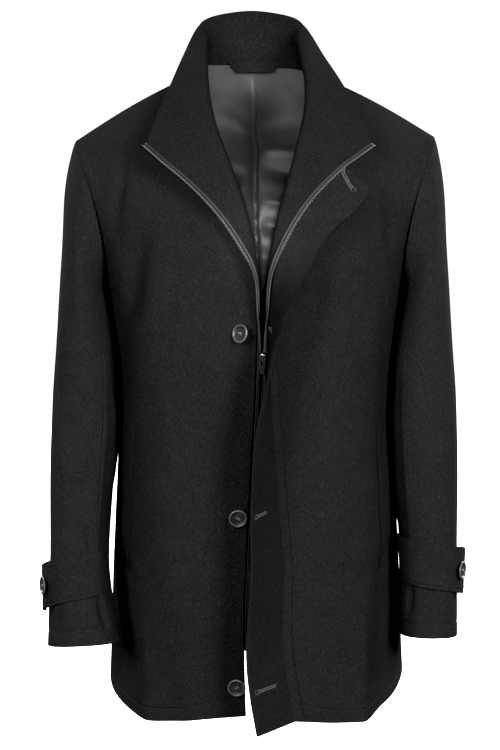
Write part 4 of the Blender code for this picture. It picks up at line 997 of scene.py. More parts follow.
# Collar and facings
# The collar is two layers of wool that stand at the back of the neck and fold out over the shoulders to two
# points. It runs on without a line into the facings, which show on the lapels and go down inside the zip.
COLLAR = 0.0040
COLLAR_RADIUS = 0.0085
COLLAR_TUCK = 0.003  # its lower edge lies this far down behind the neck seam
Collar = namedtuple("Collar", "seam roll edge shift folded")
COLLAR_SECTIONS = [
    Collar((0.070, 0.072, -0.060), (0.054, 0.088, -0.053), (0.146, 0.099, -0.073), 0.0055, 1.0),
    Collar((0.072, 0.044, -0.029), (0.061, 0.062, -0.023), (0.132, 0.068, -0.036), 0.0045, 1.0),
    Collar((0.074, 0.012, 0.001), (0.0645, 0.035, 0.008), (0.114, 0.028, 0.004), 0.0027, 1.0),
    Collar((0.0747, -0.014, 0.0180), (0.0635, 0.005, 0.041), (0.096, -0.008, 0.039), -0.0012, 1.0),
    Collar((0.0632, -0.042, 0.0238), (0.0635, -0.030, 0.079), (0.072, -0.032, 0.080), -0.0040, 0.75),
    Collar((0.0470, -0.0560, 0.0258), (0.0525, -0.051, 0.093), (0.0525, -0.051, 0.093), -0.0042, 0.0),
    Collar((0.0000, -0.0698, 0.0277), (0.0000, -0.074, 0.102), (0.000, -0.074, 0.102), -0.0040, 0.0),
]
COLLAR_LIFT = {-1: 0.0, 1: 0.0012}  # the edge's rise at the wearer's left of the back neck
COLLAR_CREASE = -0.0030  # where the standing back turns into the folded fronts
COLLAR_STEPS = 10
COLLAR_PAINTED_SHADE = 0.88  # painted shade: the collar and facings take a darker copy of the wool
FACING_COLUMNS = FINER  # of the flat front that the facing covers behind the lapel's bed

facings = {}
for side, word in SIDES:
    shown = fronts[side] - (WOOL + 2 * GAP + FACING) * front_normals[side]
    facings[side] = shown[: gorge_row + 1, BED - FACING_COLUMNS :]


def scaled(colour, by):
    return tuple(by * c for c in colour[:3]) + (1.0,)


def collar_half(side):
    """Collar sections of one side, from the gorge to the middle of the back, on the neck side."""
    sections = [facings[side][-1, FACING_COLUMNS:]]
    for row in COLLAR_SECTIONS:
        places = (row.seam, row.roll, row.edge)
        seam, roll, edge = (np.array([row.shift + side * out, -deep, high]) for out, deep, high in places)
        seam[2] -= COLLAR_TUCK
        if row.seam[1] < -0.03:
            seam[2] += COLLAR_LIFT[side] * float(ease((row.seam[0] - 0.02) / 0.04))
        section = unfolded(seam, edge)
        if row.folded > 0:
            section = section + row.folded * (over_roll(seam, roll, edge, COLLAR_RADIUS) - section)
        sections.append(section)
    return sections


sections = collar_half(-1) + collar_half(1)[::-1][1:]
share = np.linspace(0.0, 1.0, COLLAR_STEPS + 1)[:, None, None]
ends = [sections[i] + share * (sections[j] - sections[i]) for i, j in ((0, 1), (-2, -1))]
places = np.arange(len(sections) - 2, dtype=float)
between = loft(sections[1:-1], places, np.linspace(0.0, places[-1], COLLAR_STEPS * (len(sections) - 3) + 1))
collar = np.concatenate([ends[0][:-1], between, ends[1][1:]])
inside_edge = 1 - ease((np.arange(collar.shape[1]) - 12) / 12.0)[:, None]
collar = collar + inside_edge * (evened(collar, 10) - collar)
spare = np.repeat(collar[:, :1], FACING_COLUMNS, axis=1)
whole = np.concatenate([facings[-1][:-1], np.concatenate([spare, collar], axis=1), facings[1][:-1][::-1]])
for _ in range(12):
    for seam_row in (gorge_row, len(whole) - 1 - gorge_row):
        near_seam = slice(seam_row - 6, seam_row + 7)
        strip = whole[near_seam, FACING_COLUMNS:]
        whole[near_seam, FACING_COLUMNS:] = strip + inside_edge * (evened(strip, 1) - strip)
collar = whole[gorge_row : len(whole) - gorge_row, FACING_COLUMNS:]
collar_keep = np.ones((len(whole) - 1, whole.shape[1] - 1), bool)
collar_keep[gorge_row : len(whole) - 1 - gorge_row, :FACING_COLUMNS] = False
from_gorge = from_ends(len(whole)) - gorge_row
thick = FACING + (COLLAR - FACING) * ease(from_gorge / 12.0)[:, None]
# a darker copy of the wool for the collar and facings: painted shade
collar_wool = wool_finish("collar_wool", scaled(WOOL_DARK, COLLAR_PAINTED_SHADE), scaled(WOOL_LIGHT, COLLAR_PAINTED_SHADE), 0.38)
crease_row = COLLAR_STEPS * 5
collar_relief = COLLAR_CREASE * np.exp(-(((from_gorge - crease_row) / 1.3) ** 2))[:, None]
made = cloth("collar_cloth", whole, thick, 0.0, collar_wool, keep=collar_keep, relief=collar_relief)
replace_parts(made, "collar", "facing_right", "facing_left")

# Cuff linings
# Bands of the grey satin inside the ends of the sleeves, where the sleeve's lining can be seen. They are
# caught down behind the cuff's hem.
for side, word in SIDES:
    band = np.concatenate([cuff_rows[side, part] for part in ("top", "under")], axis=1)[:-2]
    near = -WOOL - GAP
    name = f"lining_cuff_{word}"
    made = cloth(f"{name}_cloth", band, near, near - LINING, satin, side < 0)
    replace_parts(made, name)

# Sleeve straps
# A doubled strap of wool round each cuff, sewn in at the front seam and buttoned on the outer side. Its
# edges are topstitched and its free end stands off the sleeve.
Strap = namedtuple("Strap", "inner_low outer_low width angles")
STRAPS = {-1: Strap(0.068, 0.042, 0.060, (134, -14)), 1: Strap(0.077, 0.053, 0.063, (168, -14))}
STRAP_STAND = 0.006
STRAP_GAPES = 0.003  # how far its upper edge stands off
STRAP_THICK = 0.003
STRAP_OFF = 0.0012
STRAP_TOP = STRAP_OFF + STRAP_THICK
STRAP_CROWN = 0.0006  # how far its rim is pressed down
STRAP_ROWS = 42
STRAP_COLUMNS = 84
TOPSTITCH_IN = 0.0045
STITCH_PITCH = 0.0034
STITCH_RADIUS = 0.00034
THREAD_DARK = (0.010, 0.0095, 0.010, 1.0)


def grained_finish(name, shades, roughness, scale=900.0, bump=0.15, metallic=0.0, detail=3.0, gloss=0.2):
    """A surface with slight changes of shade and gloss, such as thread, tape, moulded resin or metal."""
    made, tree = new_material(name)
    grain = noise(tree, put(tree, "ShaderNodeTexCoord", {}, "Object"), scale, detail)
    if gloss > 0:
        span = {"To Min": (1 - gloss) * roughness, "To Max": (1 + gloss) * roughness}
        roughness = put(tree, "ShaderNodeMapRange", {"Value": grain, **span})
    feed(tree, tree.nodes["Principled BSDF"], {
        "Base Color": mixed(tree, grain, *shades),
        "Roughness": roughness,
        "Metallic": metallic,
        "Normal": put(tree, "ShaderNodeBump", {"Height": grain, "Strength": bump, "Distance": 0.0002}),
    })
    return made


def shades_of(colour, spread):
    return scaled(colour, 1 - spread), scaled(colour, 1 + spread)


def thread_finish(name, colour, roughness):
    """Twisted sewing thread: fine ply lines across each stitch."""
    return grained_finish(name, shades_of(colour, 0.3), roughness, 2400.0, 0.4, detail=1.0, gloss=0.0)


dark_thread = thread_finish("charcoal_thread", THREAD_DARK, 0.6)


def tube_faces(count, ring):
    """Faces of a closed tube of rings, with both ends filled."""
    ends = [list(range(ring))[::-1], [(count - 1) * ring + k for k in range(ring)]]
    return quads_of(count, ring, True) + ends


SPINDLE = [(0.0, 0.25), (0.15, 0.8), (0.5, 1.0), (0.85, 0.8), (1.0, 0.25)]  # share of a stitch, thickness
SPINDLE_SIDES = 6


def strands(name, starts, stops, normals, radius, finish, lift=0.35):
    """Short raised stitches, one from each start to its stop, each a spindle bowed off the cloth."""
    starts, stops, normals = (np.asarray(v, float) for v in (starts, stops, normals))
    across = unit(np.cross(unit(stops - starts), normals))
    points = []
    for share, thick in SPINDLE:
        bow = radius * (lift + 0.6 * math.sin(math.pi * share))
        middle = starts + share * (stops - starts) + bow * normals
        for turn in np.arange(SPINDLE_SIDES) * 2 * math.pi / SPINDLE_SIDES:
            points.append(middle + thick * radius * (math.cos(turn) * across + math.sin(turn) * normals))
    points = np.array(points).swapaxes(0, 1)
    each = points.shape[1]
    spindle = tube_faces(len(SPINDLE), SPINDLE_SIDES)
    faces = [[i + each * n for i in face] for n in range(len(points)) for face in spindle]
    return piece(name, points.reshape(-1, 3), faces, finish)


def stitched(name, path, normals):
    """A row of dark stitches along a path that lies on a cloth."""
    steps = run_of(path)
    begin = np.arange(0.0, steps[-1] - STITCH_PITCH, STITCH_PITCH)
    starts, stops = (read_off(begin + share * STITCH_PITCH, steps, path) for share in (0.0, 0.78))
    over = unit(read_off(begin + 0.4 * STITCH_PITCH, steps, normals))
    return strands(name, starts, stops, over, STITCH_RADIUS, dark_thread)


def strap_grid(side, rows, columns):
    """Points of a strap on the sleeve, rows from its low edge up, columns from the seam to its free end."""
    strap = STRAPS[side]
    angles = np.linspace(*strap.angles, columns)
    sections, places = sleeve_sections(side, angles)
    share = np.linspace(0.0, 1.0, columns)
    low = places[-1] - strap.inner_low - (strap.outer_low - strap.inner_low) * share
    grid = np.array([
        [loft(sections[:, [j]], places, [low[j] - step * strap.width])[0, 0] for j in range(columns)]
        for step in np.linspace(0.0, 1.0, rows)
    ])
    gapes = STRAP_GAPES * np.linspace(0.0, 1.0, rows)[:, None] ** 2
    stand = STRAP_STAND * ease((share - 0.45) / 0.55) + gapes
    return pushed(grid, stand, side < 0)


for side, word in SIDES:
    name = f"strap_{word}"
    width = STRAPS[side].width
    grid = strap_grid(side, STRAP_ROWS, STRAP_COLUMNS)
    normals = outward(grid, side < 0)
    long = run_of(grid[STRAP_ROWS // 2 - 1])[-1]
    up = np.linspace(0.0, width, STRAP_ROWS)[:, None]
    inside = np.minimum(np.minimum(up, width - up), np.linspace(long, 0.0, STRAP_COLUMNS))
    groove = -STITCH_DEEP * np.exp(-(((inside - TOPSTITCH_IN) / 0.0013) ** 2))
    crown = STRAP_CROWN * (ease(inside / 0.004) - 1)
    made = cloth(f"{name}_cloth", grid, STRAP_TOP, STRAP_OFF, charcoal, side < 0, relief=groove + crown)
    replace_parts(made, name)
    low = int(round(TOPSTITCH_IN / width * (STRAP_ROWS - 1)))
    high = STRAP_ROWS - 1 - low
    end = STRAP_COLUMNS - 1 - int(round(TOPSTITCH_IN / long * (STRAP_COLUMNS - 1)))
    line = [(low, c) for c in range(1, end)] + [(r, end) for r in range(low, high)]
    line += [(high, c) for c in range(end, 0, -1)]
    r, c = np.array(line).T
    seat = grid + normals * (STRAP_TOP - STRAP_CROWN)
    stitched(f"{name}_topstitch", seat[r, c], normals[r, c])

# Hem and cuff stitching
# A row of dark stitches holds the turned-up hem of the body, and another the hem of each cuff. The thread
# lies in the shallow groove that it draws into the wool.
for side, word in SIDES:
    normal = front_normals[side][hem_stitch_row]
    stitched(f"hem_stitch_{word}", fronts[side][hem_stitch_row] - STITCH_DEEP * normal, normal)
    for part in ("top", "under"):
        stitched(f"cuff_stitch_{word}_{part}", *cuff_seats[side, part])
normal = back_normals[hem_stitch_row]
stitched("hem_stitch_back", back[hem_stitch_row] - STITCH_DEEP * normal, normal)

# Pocket welts
# A narrow strip of wool along each pocket opening, with its lower end cut on a slope. Near-black strands run
# along the strip's inner edge and lower end, a painted shadow where the opening lies.
WELT_THICK = 0.0016
WELT_SLOPE = 0.034  # of a level, from the outer to the inner edge
WELT_COLUMN = 4 * FINER  # of the front, at the strip's outer edge
WELT_CROWN = 0.0004
MOUTH_OFF = 0.0005
MOUTH_RADIUS = 0.0011
# near-black strands: painted shadow of the pocket opening
mouth_shadow = thread_finish("pocket_mouth_shadow", (0.0025, 0.0024, 0.0025, 1.0), 1.0)


def on_grid(grid, rows, columns):
    """Points of a grid between its own points, at given row and column numbers."""
    r = np.clip(rows.astype(int), 0, grid.shape[0] - 2)
    c = np.clip(columns.astype(int), 0, grid.shape[1] - 2)
    u = (rows - r)[..., None]
    v = (columns - c)[..., None]
    low = grid[r, c] * (1 - v) + grid[r, c + 1] * v
    return low * (1 - u) + (grid[r + 1, c] * (1 - v) + grid[r + 1, c + 1] * v) * u


for side, word in SIDES:
    name = f"welt_{word}"
    across = np.linspace(0.0, 1.0, 15)[None, :]
    up = np.linspace(0.0, 1.0, 60)[:, None]
    levels = WELT_LEVELS[0] + up * (WELT_LEVELS[-1] - WELT_LEVELS[0]) - (1 - up) * WELT_SLOPE * (across - 0.5)
    rows = np.interp(levels, fine_levels, np.arange(len(fine_levels)))
    strip = on_grid(fronts[side], rows, WELT_COLUMN + FINER * np.repeat(across, len(up), axis=0))
    ends = np.minimum(np.minimum(up, 1 - up) * 0.18, np.minimum(across, 1 - across) * 0.024)
    crown = WELT_CROWN * (ease(ends / 0.003) - 1)
    made = cloth(f"{name}_cloth", strip, GAP + WELT_THICK, GAP, charcoal, side > 0, relief=crown)
    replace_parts(made, name)
    long_edge = strip[::-1, -1] + MOUTH_OFF * unit(strip[::-1, -1] - strip[::-1, -2])
    low_edge = strip[0, -2::-1] + MOUTH_OFF * unit(strip[0, -2::-1] - strip[1, -2::-1])
    mouth = np.concatenate([long_edge, low_edge])
    over = outward(strip, side > 0)
    over = np.concatenate([over[::-1, -1], over[0, -2::-1]])
    # the opening's painted shadow
    strands(f"{name}_mouth", mouth[:-1], mouth[1:], over[:-1], MOUTH_RADIUS, mouth_shadow, lift=0.6)

# Placket
# A doubled strip of wool on the wearer's left front that covers the zip. It is sewn on with a row of
# topstitching, stands forward of the front, and turns over with the lapel at the top.
PLACKET_THICK = 0.003
PLACKET_SEWN = 0.005
PLACKET_BEND = 0.012
PLACKET_CLEAR = 6  # degrees
PLACKET_SHORTER = 0.0085  # what the bend takes off its reach
PLACKET_STITCH = 0.0150  # its topstitching, from the seam
PLACKET_SUNK = (0.0004, 0.0002)  # how far its seam is pressed into the front
Placket = namedtuple("Placket", "level root turn reach drop")
PLACKET = [
    Placket(0.00, 0.0390, 38, 0.072, 0.004),
    Placket(0.31, 0.0455, 48, 0.075, 0.000),
    Placket(0.54, 0.0305, 60, 0.077, 0.000),
    Placket(0.72, 0.0170, 71, 0.077, 0.000),
    Placket(0.80, 0.0110, 82, 0.075, 0.000),
    Placket(0.889, 0.0070, 93, 0.070, 0.000),
    Placket(0.945, 0.0065, 102, 0.064, 0.000),
    Placket(1.00, 0.0065, 114, 0.058, 0.000),
    Placket(1.10, 0.0080, 140, 0.053, 0.000),
    Placket(1.22, 0.0090, 172, 0.058, 0.000),
    Placket(1.36, 0.0090, 173, 0.073, 0.005),
    Placket(1.42, 0.0090, 175, 0.064, 0.013),
    Placket(1.49, 0.0090, 177, 0.044, 0.029),
]
PLACKET_LEVELS = [level for level in FRONT_LEVELS if level < PLACKET[-1].level] + [PLACKET[-1].level]
REACH_STEPS = 40


def full_row(side, level):
    return np.concatenate([front_row(side, level, 3 * FLAT_COLUMNS), front_edge(side, level)[1:]])


def from_edge(side, level, distance):
    """The point of a front this far from its edge, the way the row runs there, and the outward normal."""
    row = full_row(side, level)[::-1]
    point, beyond = spaced(row, 2, distance, distance + 0.001)
    above = spaced(full_row(side, level + 0.01)[::-1], 1, distance)[0]
    along = unit(point - beyond)
    return point, along, side * unit(np.cross(above - point, along))


def facing_angle(along):
    """Degrees from the way across the body to the way forwards."""
    return (math.degrees(math.atan2(-along[1], -along[0])) + 90) % 360 - 90


def placket_row(level):
    """Points of the placket at a level, from its seam to its free edge, clear of the front's folded edge."""
    value = row_at(PLACKET, level)
    root, along, normal = from_edge(1, level, value.root)
    sewn, _, sewn_normal = from_edge(1, level, value.root + PLACKET_SEWN)
    beyond = spaced(full_row(1, level)[::-1], 9, 0.0, 0.8 * value.root)
    turn = max([value.turn] + [facing_angle(point - root) + PLACKET_CLEAR for point in beyond])
    start = facing_angle(along)
    path = [sewn - PLACKET_SUNK[0] * sewn_normal, root - PLACKET_SUNK[1] * normal]
    for share in np.linspace(0.0, 1.0, 5):
        angle = math.radians(start + share * (turn - start))
        way = np.array([-math.cos(angle), -math.sin(angle), 0.0])
        path.append(path[-1] + way * PLACKET_BEND / 5)
    end = path[-1] + way * (value.reach - PLACKET_SHORTER) - np.array([0.0, 0.0, value.drop])
    return np.concatenate([path, spaced([path[-1], end], REACH_STEPS + 1)[1:]])


placket = np.array([placket_row(level) for level in PLACKET_LEVELS])
placket_levels = np.append(fine_levels[fine_levels < PLACKET_LEVELS[-1]], PLACKET_LEVELS[-1])
placket = evened(refined(placket, PLACKET_LEVELS, placket_levels), 3)
placket_normals = outward(placket, True)
from_root = run_of(placket[40])  # a row above the hem where it has its full width
groove = -0.0009 * np.exp(-(((from_root - PLACKET_STITCH) / 0.0014) ** 2))  # along the topstitching
groove -= 0.0006 * ease(1 - (from_root[-1] - from_root) / 0.004)  # the free edge, pressed thin
groove -= 0.0020 * ease(1 - from_root / 0.006)  # the seam, thinned into the front
made = cloth("placket_cloth", placket, PLACKET_THICK, 0.0, charcoal, True, relief=groove[None, :])
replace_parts(made, "placket")
column = int(np.argmin(np.abs(from_root - PLACKET_STITCH)))
seat = placket + (PLACKET_THICK - 0.0012) * placket_normals
stitched("placket_topstitch", seat[:, column], placket_normals[:, column])

# Buttonholes
# Keyhole buttonholes cut across the placket, the round eye towards its free edge. Close stitches of grey
# thread bind the cut on both faces, and a near-black fan fills the cut, painted shade of the hole.
Hole = namedtuple("Hole", "height eye stop turn")
HOLES = [
    Hole(-0.1135, 0.0195, 0.0545, 38),
    Hole(-0.3060, 0.0440, 0.0600, 0),
    Hole(-0.5440, 0.0110, 0.0360, 0),
    Hole(-0.7840, 0.0120, 0.0440, 0),
]
EYE = 0.0021
SLIT = 0.0004
BITE = 0.0018
HOLE_STITCH = 0.0006
THREAD_GREY = (0.088, 0.088, 0.090, 1.0)
grey_thread = thread_finish("buttonhole_thread", THREAD_GREY, 0.5)
# near-black fill of the cut: painted shade
slit_shadow = thread_finish("buttonhole_slit_shadow", (0.005, 0.005, 0.005, 1.0), 1.0)


def level_of(height):
    if height <= UNDERARM:
        return (height - HEM) / (UNDERARM - HEM)
    return 1 + (LEVEL_GORGE - 1) * (height - UNDERARM) / (GORGE - UNDERARM)


def keyhole(hole):
    """The outline of a keyhole, in and up from the placket's free edge, round its eye and along its slit."""
    turn = np.linspace(math.radians(25), math.radians(335), 15)
    eye = np.stack([hole.eye + EYE * np.cos(turn), EYE * np.sin(turn)], axis=1)
    count = int((hole.stop - hole.eye) / HOLE_STITCH)
    slit = np.linspace(hole.eye + 1.1 * EYE, hole.stop, count)
    upper = np.stack([slit, np.full(count, SLIT)], axis=1)[::-1]
    lower = upper[::-1] * (1, -1)
    tip = np.array([[hole.stop + SLIT, 0.3 * SLIT]])
    return np.concatenate([tip, upper, eye, lower, tip * (1, -1)])


def laid(points, hole, face):
    """Points given in and up from the placket's free edge, put onto one of its faces, turned at the eye."""
    columns = np.arange(face.shape[1], dtype=float)
    c = math.cos(math.radians(hole.turn))
    s = math.sin(math.radians(hole.turn))
    on_face = []
    for across, up in points:
        level = level_of(hole.height + (across - hole.eye) * s + up * c)
        rows = np.full(len(columns), np.interp(level, placket_levels, np.arange(len(placket_levels))))
        reach = hole.eye + (across - hole.eye) * c - up * s
        on_face.append(spaced(on_grid(face, rows, columns)[::-1], 1, max(reach, 0.0))[0])
    return np.array(on_face)


for layer, rise, sign in (("outer", PLACKET_THICK, 1), ("inner", 0.0, -1)):
    face = placket + placket_normals * rise
    for number, hole in enumerate(HOLES, 1):
        name = f"buttonhole_{number}_{layer}"
        inner = keyhole(hole)
        way = np.gradient(inner, axis=0)
        outer = inner + BITE * unit(np.stack([way[:, 1], -way[:, 0]], axis=1))
        row = np.interp(level_of(hole.height), placket_levels, np.arange(len(placket_levels)))
        normal = sign * unit(on_grid(placket_normals, np.array([row]), np.array([30.0]))[0])
        count = len(inner)
        over = np.tile(normal, (count, 1))
        strands(name, laid(inner, hole, face), laid(outer, hole, face), over, 0.00042, grey_thread)
        # the cut is filled with a near-black fan, painted shade of the hole
        filled = np.concatenate([inner, inner.mean(axis=0, keepdims=True)])
        floor = laid(filled, hole, face) + 0.00015 * normal
        fan = [[i, (i + 1) % count, count][::sign] for i in range(count)]
        piece(f"{name}_slit", floor, fan, slit_shadow)

# Zip
# A two-way zip: each half is a woven tape with a corded edge and a row of small moulded teeth, sewn along a
# front's and the collar's edge, with a metal stop at the collar's point.
TAPE_COLOUR = (0.0235, 0.0235, 0.0242, 1.0)
# the near-black outer face of the tape is painted shade of the closed zip under the placket
TAPE_OUTER_SHADE = (0.008, 0.008, 0.008, 1.0)
TEETH_COLOUR = (0.130, 0.130, 0.133, 1.0)
STEEL = (0.24, 0.238, 0.236, 1.0)
TOOTH_PITCH = 0.0026
Tooth = namedtuple("Tooth", "start stop half_wide half_thick")
TOOTH = Tooth(0.0036, 0.00605, 0.00064, 0.00095)
TOOTH_SLIMMER = (0.8, 0.75)  # along the zip and through it, at the outer end
TAPE_UPPER = [
    (0.0003, 0.0002), (0.0008, 0.00075), (0.0018, 0.00088),
    (0.0028, 0.0008), (0.0033, 0.0003), (0.0040, 0.0003),
]
TAPE = TAPE_UPPER + [(across, -thick) for across, thick in TAPE_UPPER[::-1]]
BORDER = [
    (-0.0022, -0.00262), (0.0004, -0.00262), (0.0016, -0.0007),
    (0.0022, -0.0011), (0.0008, -0.0033), (-0.0022, -0.0032),
]
TEETH_SHADED_BELOW = -0.362  # the height of the upper slider; below it the teeth's outer faces take the near-black tape colour, painted shade
NARROWER = 0.70  # how much less of the tape shows where the halves part above the slider
PARTING_FROM = (-0.358, 0.075)  # the height where that begins, and the length over which it grows
PARTING_TO = (-0.235, 0.040)  # the height where it has ended, and the length over which it fades
STOP_HALF = (0.0022, 0.0013, 0.0013)

tape = grained_finish("zip_tape", shades_of(TAPE_COLOUR, 0.25), 0.6, 1500.0, 0.5)
shaded_tape = grained_finish("zip_tape_outer_shade", shades_of(TAPE_OUTER_SHADE, 0.25), 0.7, 1500.0, 0.5)
moulded = grained_finish("zip_teeth", shades_of(TEETH_COLOUR, 0.2), 0.35)
steel = grained_finish("zip_steel", shades_of(STEEL, 0.15), 0.20, 500.0, 0.05, 1.0)


def zip_line(side):
    """Cloth edge of one zip half from its low end to the collar's point, and the way out from it."""
    inside = (WOOL + GAP + FACING) / 2
    first = int(np.searchsorted(fine_levels, ZIP_LEVEL))
    front = (fronts[side] - inside * front_normals[side])[first : gorge_row + 1]
    half = (collar + COLLAR / 2 * outward(collar))[:: -side][1:11]
    last = np.concatenate([front[:, -1], half[:, -1]])
    way = unit(np.concatenate([front[:, -1] - front[:, -3], half[:, -1] - half[:, -3]]))
    steps = run_of(last)
    where = np.linspace(0.0, steps[-1], int(steps[-1] / TOOTH_PITCH))
    return read_off(where, steps, last), unit(read_off(where, steps, way))


BOX = [(a, b, c) for a in (-1, 1) for b in (-1, 1) for c in (-1, 1)]
BOX_FACES = [[0, 1, 3, 2], [4, 6, 7, 5], [0, 4, 5, 1], [2, 3, 7, 6], [0, 2, 6, 4], [1, 5, 7, 3]]


def blocks(middles, out, along, face, half, slimmer=(1.0, 1.0)):
    """Corners of blocks of given half sizes, one at each middle, slimmer at the outer end."""
    corners = []
    for a, b, c in BOX:
        slim = slimmer if a > 0 else (1.0, 1.0)
        sideways = slim[0] * b * half[1] * along + slim[1] * c * half[2] * face
        corners.append(middles + a * half[0] * out + sideways)
    return np.array(corners).swapaxes(0, 1).reshape(-1, 3)


for side, word in SIDES:
    edge, out = zip_line(side)
    along = unit(np.gradient(edge, axis=0))
    face = side * np.cross(along, out)
    parting = np.clip((edge[:, 2] - PARTING_FROM[0]) / PARTING_FROM[1], 0.0, 1.0)
    parting *= ease((PARTING_TO[0] - edge[:, 2]) / PARTING_TO[1])
    narrow = (1 - NARROWER * parting)[:, None]
    tubes = {}
    for part, outline, flip in (("tape", TAPE, side < 0), ("border", BORDER, side > 0)):
        rings = np.array([edge + across * narrow * out + off * face for across, off in outline])
        faces = [f[::-1] if flip else f for f in tube_faces(len(edge), len(outline))]
        points = rings.swapaxes(0, 1).reshape(-1, 3)
        tubes[part] = piece(f"zip_{word}_{part}", points, faces, tape)
    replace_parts(tubes["tape"], f"zip_{word}")
    # the tape's outer faces take the near-black colour: painted shade
    tubes["tape"].data.materials.append(shaded_tape)
    for number, polygon in enumerate(tubes["tape"].data.polygons):
        polygon.material_index = int(number % len(TAPE) < len(TAPE_UPPER) - 1)
    half = (TOOTH.stop - TOOTH.start) / 2
    middle = edge + (TOOTH.start * narrow + half) * out
    if side > 0:
        middle = middle[:-1] + np.diff(middle, axis=0) / 2
    n = len(middle)
    half_sizes = (half, TOOTH.half_wide, TOOTH.half_thick)
    points = blocks(middle, out[:n], along[:n], face[:n], half_sizes, TOOTH_SLIMMER)
    faces = [[len(BOX) * i + k for k in f] for i in range(n) for f in BOX_FACES]
    teeth = piece(f"zip_{word}_teeth", points, faces, moulded)
    # outer faces of the teeth below the upper slider take the near-black colour: painted shade
    teeth.data.materials.append(shaded_tape)
    for number, polygon in enumerate(teeth.data.polygons):
        outer_face = number % len(BOX_FACES) == len(BOX_FACES) - 1
        polygon.material_index = int(outer_face and polygon.center.z < TEETH_SHADED_BELOW)
    rounded(teeth, 0.0002, 1)
    middle = edge[-1:] + 0.0034 * out[-1:] - 0.0010 * along[-1:]
    points = blocks(middle, out[-1:], along[-1:], face[-1:], STOP_HALF)
    rounded(piece(f"zip_{word}_stop", points, BOX_FACES, steel), 0.0006, 3)

# Buttons
# Dark four-hole buttons of resin with a raised rim, painted lighter as a painted highlight, sewn on with a
# shank
# and grey thread: four down the wearer's right front, the top one under the lapel, and one on each strap.
BUTTON_OFF = 0.0004
BUTTON_SHANK = 0.0020
BUTTON_LEANS = 0.007  # how far off the cloth it comes when it leans
STRAP_BUTTON_IN = 0.0012  # how far a strap's button is drawn into it
STRAP_BUTTON_LEAN = 0.30
HOLE_OUT = 0.0029
HOLE_RADIUS = 0.0010
THREAD_HIGH = 0.0018  # the height of the button's floor
THREAD_SLACK = 0.0004
THREAD_APART = 0.0003
RIM = (0.0094, 0.0029)  # the rim, painted lighter as a painted highlight, lies outside this radius and above this height
RESIN = ((0.016, 0.016, 0.0165, 1.0), (0.062, 0.061, 0.062, 1.0))
# lighter resin for the rim: a painted highlight
RESIN_RIM_HIGHLIGHT = ((0.060, 0.059, 0.060, 1.0), (0.150, 0.148, 0.149, 1.0))
resin = grained_finish("button_resin", RESIN, 0.34, 130.0, 0.05)
rim_highlight = grained_finish("button_rim_highlight", RESIN_RIM_HIGHLIGHT, 0.28, 130.0, 0.05)
button_thread = thread_finish("button_thread", (0.150, 0.150, 0.152, 1.0), 0.6)
BUTTON_PROFILE = [
    (0.0000, 0.0002), (0.0070, 0.0002), (0.0100, 0.0006), (0.0119, 0.0013), (0.0125, 0.0021),
    (0.0124, 0.0027), (0.0119, 0.0034), (0.0111, 0.0038), (0.0102, 0.0038), (0.0095, 0.0033),
    (0.0090, 0.0022), (0.0084, 0.0018), (0.0060, 0.0019), (0.0045, 0.0020), (0.0000, 0.0020),
]


def turned(name, profile, sides, finish):
    """A body turned round the upright axis, from (radius, height) pairs that start and end on the axis."""
    ring = [(math.cos(turn), math.sin(turn)) for turn in np.arange(sides) * 2 * math.pi / sides]
    points = [(0, 0, profile[0][1])]
    points += [(radius * c, radius * s, height) for radius, height in profile[1:-1] for c, s in ring]
    points.append((0, 0, profile[-1][1]))
    last = len(points) - 1
    faces = [[0, 1 + (k + 1) % sides, 1 + k] for k in range(sides)]
    faces += [[1 + i for i in face] for face in quads_of(len(profile) - 2, sides, True)]
    faces += [[last, last - sides + k, last - sides + (k + 1) % sides] for k in range(sides)]
    return mesh_object(name, points, faces, finish)


DRILL_PROFILE = [(0, -0.002), (HOLE_RADIUS, -0.002), (HOLE_RADIUS, 0.006), (0, 0.006)]
pattern = turned("button_pattern", BUTTON_PROFILE, 64, resin)
drills = []
for k in range(4):
    turn = math.radians(45 + 90 * k)
    drill = turned(f"drill_{k}", DRILL_PROFILE, 16, resin)
    drill.location = (HOLE_OUT * math.cos(turn), HOLE_OUT * math.sin(turn), 0.0)
    cut = pattern.modifiers.new(f"hole_{k}", "BOOLEAN")
    cut.operation = "DIFFERENCE"
    cut.object = drill
    drills.append(drill)
bpy.context.view_layer.update()
seen = pattern.evaluated_get(bpy.context.evaluated_depsgraph_get())
button_mesh = bpy.data.meshes.new_from_object(seen)
for used in [pattern] + drills:
    bpy.data.objects.remove(used, do_unlink=True)
button_points = np.array([v.co[:] for v in button_mesh.vertices])
button_faces = [list(p.vertices) for p in button_mesh.polygons]
middles = np.array([button_points[face].mean(axis=0) for face in button_faces])
on_rim = (np.linalg.norm(middles[:, :2], axis=1) > RIM[0]) & (middles[:, 2] > RIM[1])


